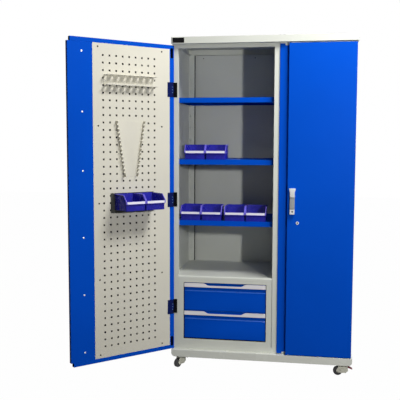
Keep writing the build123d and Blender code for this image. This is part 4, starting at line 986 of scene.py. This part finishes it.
@dataclass
class Hinges:
    """Butt hinges: leaves, knuckles and the screws through the leaves."""

    shop: Workshop
    head: PanHead = field(default_factory=lambda: PanHead(2.6 * MM, 0.7 * MM, 0.4 * MM))
    screw_spread: float = 15 * MM
    screw_from_line: float = 9.0 * MM
    length: float = 80 * MM
    leaf: float = 2 * MM

    def build(self) -> None:
        """Build and dress the hinges of both doors."""
        # The leaves on the doors get the darkened blue as painted shade.
        for node, body, finish in (
            ("hinge_frame_leaves", "cabinet", "hinge_black"),
            ("left_hinge_leaves", "left_door", "hinge_navy_painted_shade"),
            ("right_hinge_leaves", "right_door", "hinge_navy_painted_shade"),
        ):
            self.shop.folded(node, finish, body, "black_hinge", 0.4 * MM, 50)
        self.leaf_screws()

    def leaf_screws(self) -> None:
        """Three screws down each leaf on the wide door, beside the knuckles."""
        swing = self.shop.shut_to_rest("left_door_hinge")
        leaf_low, leaf_high = self.shop.shut_box("left_hinge_leaves", "left_door_hinge")
        skin = self.shop.shut_box("left_door_shell", "left_door_hinge")[1].y
        x = self.shop.pivot("left_door_hinge").x + self.screw_from_line
        middle = (leaf_low.z + leaf_high.z) / 2
        step = (leaf_high.z - leaf_low.z - self.length) / 2
        forms = []
        for hinge in (-1, 0, 1):
            for place in (-1, 0, 1):
                z = middle + hinge * step + place * self.screw_spread
                forms.append(moved(self.head.form(), swing @ stood((x, skin + self.leaf, z), -1)))
        self.shop.piece("hinge_leaf_screws", joined(forms), "screw_blued", "left_door", "zinc_steel")


@dataclass
class LeftDoor:
    """The wide door: skin, stile, perforated sheet, its screws, racks and bin plate."""

    shop: Workshop
    fold: float = 0.5 * MM
    sheet_border: float = 8 * MM
    screw_turn: float = math.radians(37)
    screw: PanHead = field(default_factory=PanHead)

    def build(self) -> None:
        """Build and dress the door."""
        shell = self.shop.folded("left_door_shell", "door_paint", "left_door", "blue_paint", self.fold)
        back = self.shop.shut_to_rest("left_door_hinge").inverted()
        low, high = self.shop.shut_box("left_door_shell", "left_door_hinge")
        middle = (low.y + high.y) / 2

        def in_pan(face: Face) -> bool:
            """Whether a face is the skin's inside, behind the perforated sheet."""
            inward = (back.to_3x3() @ face.normal).y > SQUARE_ON
            return inward and (back @ face.center).y < middle

        # The skin's inside behind the perforated sheet gets painted shade, so the holes look dark.
        self.shop.tint(shell, "painted_gap_shade", in_pan)
        self.shop.folded("left_door_stile", "door_paint", "left_door", "blue_paint", 2 * self.fold)
        sheet = self.shop.folded("pegboard", "panel_paint", "left_door", "light_paint", 0.25 * MM)
        left, right = self.shop.shut_box("pegboard", "left_door_hinge")
        border = self.sheet_border

        def in_hole(face: Face) -> bool:
            """Whether a face lines one of the sheet's holes."""
            at = back @ face.center
            inside = left.x + border < at.x < right.x - border and left.z + border < at.z < right.z - border
            return inside and abs((back.to_3x3() @ face.normal).y) < SQUARE_ON

        # The walls of the holes get painted shade.
        self.shop.tint(sheet, "painted_gap_shade", in_hole)
        self.shop.folded("tool_rack", "panel_paint", "left_door", "light_paint", self.fold)
        self.shop.folded("spanner_rack", "panel_paint", "left_door", "light_paint", 0.4 * MM)
        # The bin plate's dark grey is partly painted shade from the bins.
        self.shop.folded("bin_plate", "backing_dark_and_shade", "left_door", "plate_steel", 2 * self.fold)
        self.screws()

    def screws(self) -> None:
        """A domed, cross-cut screw at the place of each plain one."""
        swing = self.shop.shut_to_rest("left_door_hinge")
        bins = BinSet(self.shop)
        sheet_end = self.shop.shut_box("pegboard", "left_door_hinge")[1].x
        stile, sheet = [], []
        for number, (low, high) in enumerate(bins.solids("left_door_screws", swing.inverted())):
            place = stood(((low.x + high.x) / 2, low.y, (low.z + high.z) / 2), -1)
            face = place @ Matrix.Rotation(number * self.screw_turn, 4, "Z")
            group = stile if low.x > sheet_end else sheet
            group.append(moved(self.screw.form(), swing @ face))
        ride = ("left_door", "zinc_steel")
        self.shop.piece("stile_screws_domed", joined(stile), "zinc_plate", *ride, node="left_door_screws")
        self.shop.piece("sheet_screws_domed", joined(sheet), "screw_black", *ride)


@dataclass
class RightDoor:
    """The narrow door: skin, inner stile and the strip that the wide door meets."""

    shop: Workshop
    fold: float = 0.7 * MM

    def build(self) -> None:
        """Build and dress the door."""
        for node in ("right_door_shell", "right_door_stile", "meeting_strip"):
            self.shop.folded(node, "door_paint", "right_door", "blue_paint", self.fold)


@dataclass
class LockGear:
    """The lever handle with its housing and key plug, the round lock, the cam and the two rods."""

    shop: Workshop
    body_width: float = 26 * MM
    flare_width: float = 37 * MM
    flare_length: float = 48 * MM
    flare_run: float = 22 * MM
    thickness: float = 10 * MM
    scoop: float = 4.2 * MM
    scoop_end: float = 4 * MM
    head_lap: float = 2 * MM
    flat_share: float = 0.25
    edge: float = 1.6 * MM
    core_radius: float = 4.6 * MM
    core_out: float = 0.3 * MM

    def build(self) -> None:
        """Build and dress the lock gear."""
        self.shop.folded("handle_housing", "handle_paint", "right_door", "handle_grey", 1.2 * MM)
        self.lever()
        self.shop.folded("latch_cam", "zinc_plate", "lever", "zinc_steel", 0.4 * MM, 50)
        self.shop.folded("upper_lock_rod", "zinc_plate", "upper_rod", "zinc_steel", 0.5 * MM)
        self.shop.folded("lower_lock_rod", "zinc_plate", "lower_rod", "zinc_steel", 0.5 * MM)
        self.shop.folded("handle_key_plug", "key_shadow", "key_plug", "lock_chrome", 0.5 * MM, 50)
        self.shop.folded("round_lock", "lock_chrome", "cam_lock", "lock_chrome", 0.7 * MM, 50)
        face = self.shop.pivot("cam_lock_turn")
        face.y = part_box("round_lock")[0].y
        wide, out = self.core_radius, self.core_out
        core = moved(lathe([(0, 0), (wide, 0), (wide, out), (0, out)], 24), stood(face, 1))
        self.shop.piece("round_lock_core", core, "key_shadow", "cam_lock", "lock_chrome")

    def lever(self) -> None:
        """The lever: a flared head, and below it a grip hollowed towards the head."""
        low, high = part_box("handle_lever")
        middle = (low.x + high.x) / 2
        neck = high.z - self.flare_length
        half, flare = self.body_width / 2, self.flare_width / 2
        run = high.z - self.flare_run
        corners = [(-half, neck), (-half, run), (-flare, high.z), (flare, high.z), (half, run)]
        corners.append((half, neck))
        head = drawn([(middle + x, high.y, z) for x, z in corners], (0, low.y - high.y, 0))
        round_edges(head, self.edge, 3)
        deep = low.y + self.scoop
        under, over = neck - self.scoop_end, neck + self.head_lap
        outline = [(high.y, low.z), (low.y, low.z), (low.y, low.z + self.flat_share * (neck - low.z))]
        outline += [(deep, under), (deep, over), (high.y, over)]
        grip = prism(outline, middle - half, middle + half)
        round_edges(grip, self.edge / 2, 3, 12)
        ride = ("lever", "handle_grey")
        self.shop.piece("handle_lever_head", head, "handle_paint", *ride, node="handle_lever")
        self.shop.piece("handle_lever_grip", grip, "grip_paint", *ride)


# Casters


@dataclass
class Caster:
    """One swivel caster: ball-race head, forked housing, tyred wheel and, at the front, a brake pedal."""

    shop: Workshop
    place: str
    braked: bool
    wheel_radius: float = 25 * MM
    wheel_width: float = 20 * MM
    bore: float = 4.05 * MM
    tread_round: float = 5 * MM
    hub_radius: float = 15 * MM
    hub_sink: float = 1.8 * MM
    race_radius: float = 21 * MM
    race_height: float = 5.4 * MM
    bolt_radius: float = 4.5 * MM
    bolt_height: float = 3.0 * MM
    bolt_spread: float = 21.5 * MM
    wheel_step: float = 1 * MM
    boss_radius: float = 7.5 * MM
    boss_foot: float = 8.5 * MM
    hub_gap: float = 1.6 * MM
    hub_bed: float = 0.2 * MM
    hub_web: float = 0.3 * MM
    stud_hole: float = 6.2 * MM
    race_lip: float = 1.2 * MM
    race_rim: float = 1.5 * MM
    race_taper: float = 2 * MM
    bolt_sink: float = 0.3 * MM
    bolt_round: float = 0.4 * MM
    pedal_ribs: int = 4
    pedal_rib_half: float = 0.9 * MM
    pedal_rib_root: float = 1.5 * MM
    pedal_rib_end: float = 2 * MM
    pedal_rib_round: float = 0.5 * MM
    same_level: float = 0.1 * MM

    def upright(self) -> Matrix:
        """The caster's own frame: its origin on the swivel at the base, X towards the axle."""
        swivel = self.shop.pivot(self.place + "_swivel")
        trail = self.shop.pivot(self.place + "_wheel_spin") - swivel
        heading = math.atan2(trail.y, trail.x)
        return Matrix.Translation((swivel.x, swivel.y, 0)) @ Matrix.Rotation(heading, 4, "Z")

    def axle(self) -> Matrix:
        """A frame on the wheel's axle, with Z along it."""
        hub = self.shop.pivot(self.place + "_wheel_spin")
        axis = Vector(self.shop.joints[self.place + "_wheel_spin"]["axis"])
        return Matrix.Translation(hub) @ axis.to_track_quat("Z", "Y").to_matrix().to_4x4()

    def build(self) -> None:
        """Build and dress the caster."""
        self.wheel()
        name = self.place + "_fork"
        self.shop.folded(name, "caster_paint", self.place + "_caster", "caster_steel", 0.7 * MM, 50)
        self.race()
        if self.braked:
            self.pedal()

    def wheel(self) -> None:
        """The tyre with its rounded tread, and the hub sunk in both sides."""
        half, out, rim = self.wheel_width / 2, self.wheel_radius, self.hub_radius
        soft = self.tread_round
        side = []
        for step in range(7):
            turn = step * QUARTER_TURN / 6
            side.append((out - soft + soft * math.sin(turn), half - soft + soft * math.cos(turn)))
        sunk = half - self.hub_sink
        profile = [(self.bore, sunk), (rim - self.wheel_step, sunk), (rim, half), *side]
        mirrored = [(radius, -height) for radius, height in reversed(profile)]
        tyre = moved(lathe([*profile, *mirrored, profile[0]], 40), self.axle())
        ride = (self.place + "_roller", "wheel_rubber")
        self.shop.piece(self.place + "_tyre", tyre, "tyre_rubber", *ride, node=self.place + "_wheel")
        bed, web = sunk - self.hub_bed, sunk + self.hub_web
        boss, edge = half - self.hub_bed, rim - self.hub_gap
        disc = [(self.bore, bed), (self.bore, boss), (self.boss_radius, boss), (self.boss_foot, web)]
        disc += [(edge, web), (edge, bed)]
        outer = lathe([*disc, disc[0]], 32)
        inner = moved(lathe([*disc, disc[0]], 32), Matrix.Rotation(math.pi, 4, "X"))
        hub = moved(joined([outer, inner]), self.axle())
        self.shop.piece(self.place + "_hub", hub, "hub_plastic", *ride)

    def race(self) -> None:
        """The swivel's pressed cup and the bolts through the plate's corners."""
        swivel = self.shop.pivot(self.place + "_swivel")
        top, hole, rim = swivel.z, self.stud_hole, self.race_radius + self.race_lip
        low = top - self.race_height
        cup = [(hole, top), (rim, top), (rim, top - self.race_rim)]
        cup += [(self.race_radius - self.race_taper, low), (hole, low), (hole, top)]
        ring = moved(lathe(cup, 36), self.upright())
        self.shop.piece(self.place + "_race", ring, "zinc_plate", self.place + "_caster", "caster_steel")
        z = top + self.bolt_sink - self.bolt_height / 2
        forms = []
        for x in (-1, 1):
            for y in (-1, 1):
                bolt = bmesh.new()
                size = {"radius1": self.bolt_radius, "radius2": self.bolt_radius, "depth": self.bolt_height}
                bmesh.ops.create_cone(bolt, cap_ends=True, segments=6, **size)
                round_edges(bolt, self.bolt_round)
                at = (swivel.x + x * self.bolt_spread, swivel.y + y * self.bolt_spread, z)
                forms.append(moved(bolt, Matrix.Translation(at)))
        self.shop.piece(self.place + "_plate_bolts", joined(forms), "zinc_plate", "cabinet", "zinc_steel")

    def pedal(self) -> None:
        """The foot pedal, rounded, with ribs across its tread."""
        node, body = self.place + "_pedal", self.place + "_brake"
        self.shop.folded(node, "pedal_plastic", body, "pedal_red", 1.2 * MM)
        back = self.upright().inverted()
        points = [back @ corner.co for corner in self.shop.nodes[node].data.vertices]
        tip = min(p.x for p in points)
        flat = max(p.z for p in points if p.x < tip + self.same_level)
        high = max(p.z for p in points)
        bend = min(p.x for p in points if p.z > high - self.same_level)
        half = max(p.y for p in points) - self.pedal_rib_end
        thick = self.pedal_rib_half
        forms = []
        for step in range(self.pedal_ribs):
            share = (step + 1) / (self.pedal_ribs + 1)
            x = tip + (bend - tip) * share
            z = flat + (high - flat) * share
            rib = slab((x - thick, -half, z - self.pedal_rib_root), (x + thick, half, z + thick))
            round_edges(rib, self.pedal_rib_round)
            forms.append(rib)
        ribs = moved(joined(forms), self.upright())
        self.shop.piece(node + "_ribs", ribs, "pedal_plastic", body, "pedal_red")


@dataclass
class CasterSet:
    """The four casters and the plates they hang from."""

    shop: Workshop
    braked: tuple[str, ...] = ("front_left", "front_right")
    free: tuple[str, ...] = ("rear_left", "rear_right")

    def build(self) -> None:
        """Build and dress the casters."""
        self.shop.folded("caster_plates", "zinc_plate", "cabinet", "zinc_steel", 0.8 * MM, 50)
        for place in self.braked:
            Caster(self.shop, place, True).build()
        for place in self.free:
            Caster(self.shop, place, False).build()


# Studio


@dataclass(frozen=True)
class Lamp:
    """A rectangular lamp that faces a point."""

    name: str
    place: tuple[float, float, float]
    aim: tuple[float, float, float]
    power: float
    width: float
    height: float

    def hang(self) -> None:
        """Put the lamp in the studio."""
        light = bpy.data.lights.new(self.name, "AREA")
        light.shape = "RECTANGLE"
        light.size = self.width
        light.size_y = self.height
        light.energy = self.power
        lamp = bpy.data.objects.new(self.name, light)
        lamp.location = self.place
        towards = Vector(self.aim) - Vector(self.place)
        lamp.rotation_euler = towards.to_track_quat("-Z", "Y").to_euler()
        bpy.context.scene.collection.objects.link(lamp)


@dataclass
class Studio:
    """The camera, the white floor and backdrop, and the lamps."""

    camera_place: tuple[float, float, float] = (0.273, -3.941, 1.214)
    camera_yaw: float = 0.165
    camera_pitch: float = -0.087
    camera_roll: float = 0.003
    focal_length: float = 61.03
    film_width: float = 36.0
    sight: float = 60.0
    floor_size: float = 24.0
    floor_white: Colour = (0.08, 0.08, 0.08)
    floor_rough: float = 0.9
    floor_glow: float = 0.99
    lamps: tuple[Lamp, ...] = (
        Lamp("flash", (1.19, -2.83, 1.36), (0.0, 0.0, 0.95), 33.5, 0.10, 0.12),
        Lamp("overhead_right", (1.12, -1.30, 3.05), (0.1, -0.1, 1.2), 66.0, 1.0, 0.7),
        Lamp("ceiling", (-0.30, -5.0, 3.95), (0.0, 0.0, 1.2), 10.0, 0.8, 0.2),
        Lamp("back_left", (-2.4, 2.6, 2.6), (0.0, 0.0, 0.9), 20.0, 1.5, 1.5),
        Lamp("back_right", (2.6, 2.2, 2.2), (0.0, 0.0, 0.9), 16.0, 1.5, 1.5),
    )

    def build(self) -> None:
        """Set up the whole studio."""
        bpy.context.scene.view_settings.view_transform = "Standard"
        self.camera()
        self.floor()
        self.backdrop()
        for lamp in self.lamps:
            lamp.hang()

    def camera(self) -> None:
        """The camera at the cabinet's viewing angle."""
        yaw, pitch, roll = self.camera_yaw, self.camera_pitch, self.camera_roll
        level = math.cos(pitch)
        ahead = Vector((-math.sin(yaw) * level, math.cos(yaw) * level, math.sin(pitch)))
        right = Vector((math.cos(yaw), math.sin(yaw), 0))
        above = right.cross(ahead)
        tilted = math.cos(roll) * right + math.sin(roll) * above
        upright = math.cos(roll) * above - math.sin(roll) * right
        lens = bpy.data.cameras.new("camera")
        lens.sensor_width = self.film_width
        lens.lens = self.focal_length
        lens.clip_end = self.sight
        stand = bpy.data.objects.new("camera", lens)
        turn = Matrix((tilted, upright, -ahead)).transposed().to_4x4()
        stand.matrix_world = Matrix.Translation(self.camera_place) @ turn
        bpy.context.scene.collection.objects.link(stand)
        bpy.context.scene.camera = stand

    def floor(self) -> None:
        """A pale floor that looks white to the camera and keeps a faint shadow."""
        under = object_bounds()[0][2]
        form = bmesh.new()
        bmesh.ops.create_grid(form, x_segments=1, y_segments=1, size=self.floor_size / 2)
        bmesh.ops.translate(form, vec=(0, 0, under), verts=form.verts)
        mesh = bpy.data.meshes.new("studio_floor")
        form.to_mesh(mesh)
        form.free()
        floor = bpy.data.objects.new("studio_floor", mesh)
        bpy.context.scene.collection.objects.link(floor)
        material = bpy.data.materials.new("floor_white")
        material.use_nodes = True
        tree = material.node_tree
        surface = tree.nodes["Principled BSDF"]
        surface.inputs["Base Color"].default_value = (*self.floor_white, 1)
        surface.inputs["Roughness"].default_value = self.floor_rough
        glow = tree.nodes.new("ShaderNodeEmission")
        seen = self.seen_share(tree, self.floor_glow)
        mix = tree.nodes.new("ShaderNodeMixShader")
        tree.links.new(seen, mix.inputs["Fac"])
        tree.links.new(surface.outputs["BSDF"], mix.inputs[1])
        tree.links.new(glow.outputs["Emission"], mix.inputs[2])
        tree.links.new(mix.outputs["Shader"], tree.nodes["Material Output"].inputs["Surface"])
        mesh.materials.append(material)
        floor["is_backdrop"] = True

    def seen_share(self, tree: bpy.types.NodeTree, share: float) -> Socket:
        """A factor that is share for what the camera, gloss and glass see, and 0 for other light."""
        path = tree.nodes.new("ShaderNodeLightPath")
        total = path.outputs["Is Camera Ray"]
        for kind in ("Is Glossy Ray", "Is Transmission Ray"):
            larger = tree.nodes.new("ShaderNodeMath")
            larger.operation = "MAXIMUM"
            tree.links.new(total, larger.inputs[0])
            tree.links.new(path.outputs[kind], larger.inputs[1])
            total = larger.outputs[0]
        part = tree.nodes.new("ShaderNodeMath")
        part.operation = "MULTIPLY"
        part.inputs[1].default_value = share
        tree.links.new(total, part.inputs[0])
        return part.outputs[0]

    def backdrop(self) -> None:
        """A surround that is white to the eye and gives the cabinet no light."""
        world = bpy.data.worlds.new("surround")
        world.use_nodes = True
        bpy.context.scene.world = world
        tree = world.node_tree
        shade = tree.nodes["Background"]
        shade.inputs["Color"].default_value = (1, 1, 1, 1)
        tree.links.new(self.seen_share(tree, 1.0), shade.inputs["Strength"])


def main() -> None:
    """Build the cabinet's looks in order, then the studio."""
    logging.basicConfig(level=logging.INFO, format="%(name)s: %(message)s")
    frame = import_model()
    paint = PaintShop()
    paint.mix()
    joints = {joint["name"]: joint for joint in frame["joints"]}
    shop = Workshop(frame["nodes"], joints, paint)
    for assembly in (
        CabinetBody(shop),
        Shelving(shop),
        DrawerUnit(shop),
        BinSet(shop),
        LeftDoor(shop),
        RightDoor(shop),
        Hinges(shop),
        LockGear(shop),
        CasterSet(shop),
    ):
        assembly.build()
        LOG.info("built %s", type(assembly).__name__)
    Studio().build()


if __name__ == "__main__":
    main()
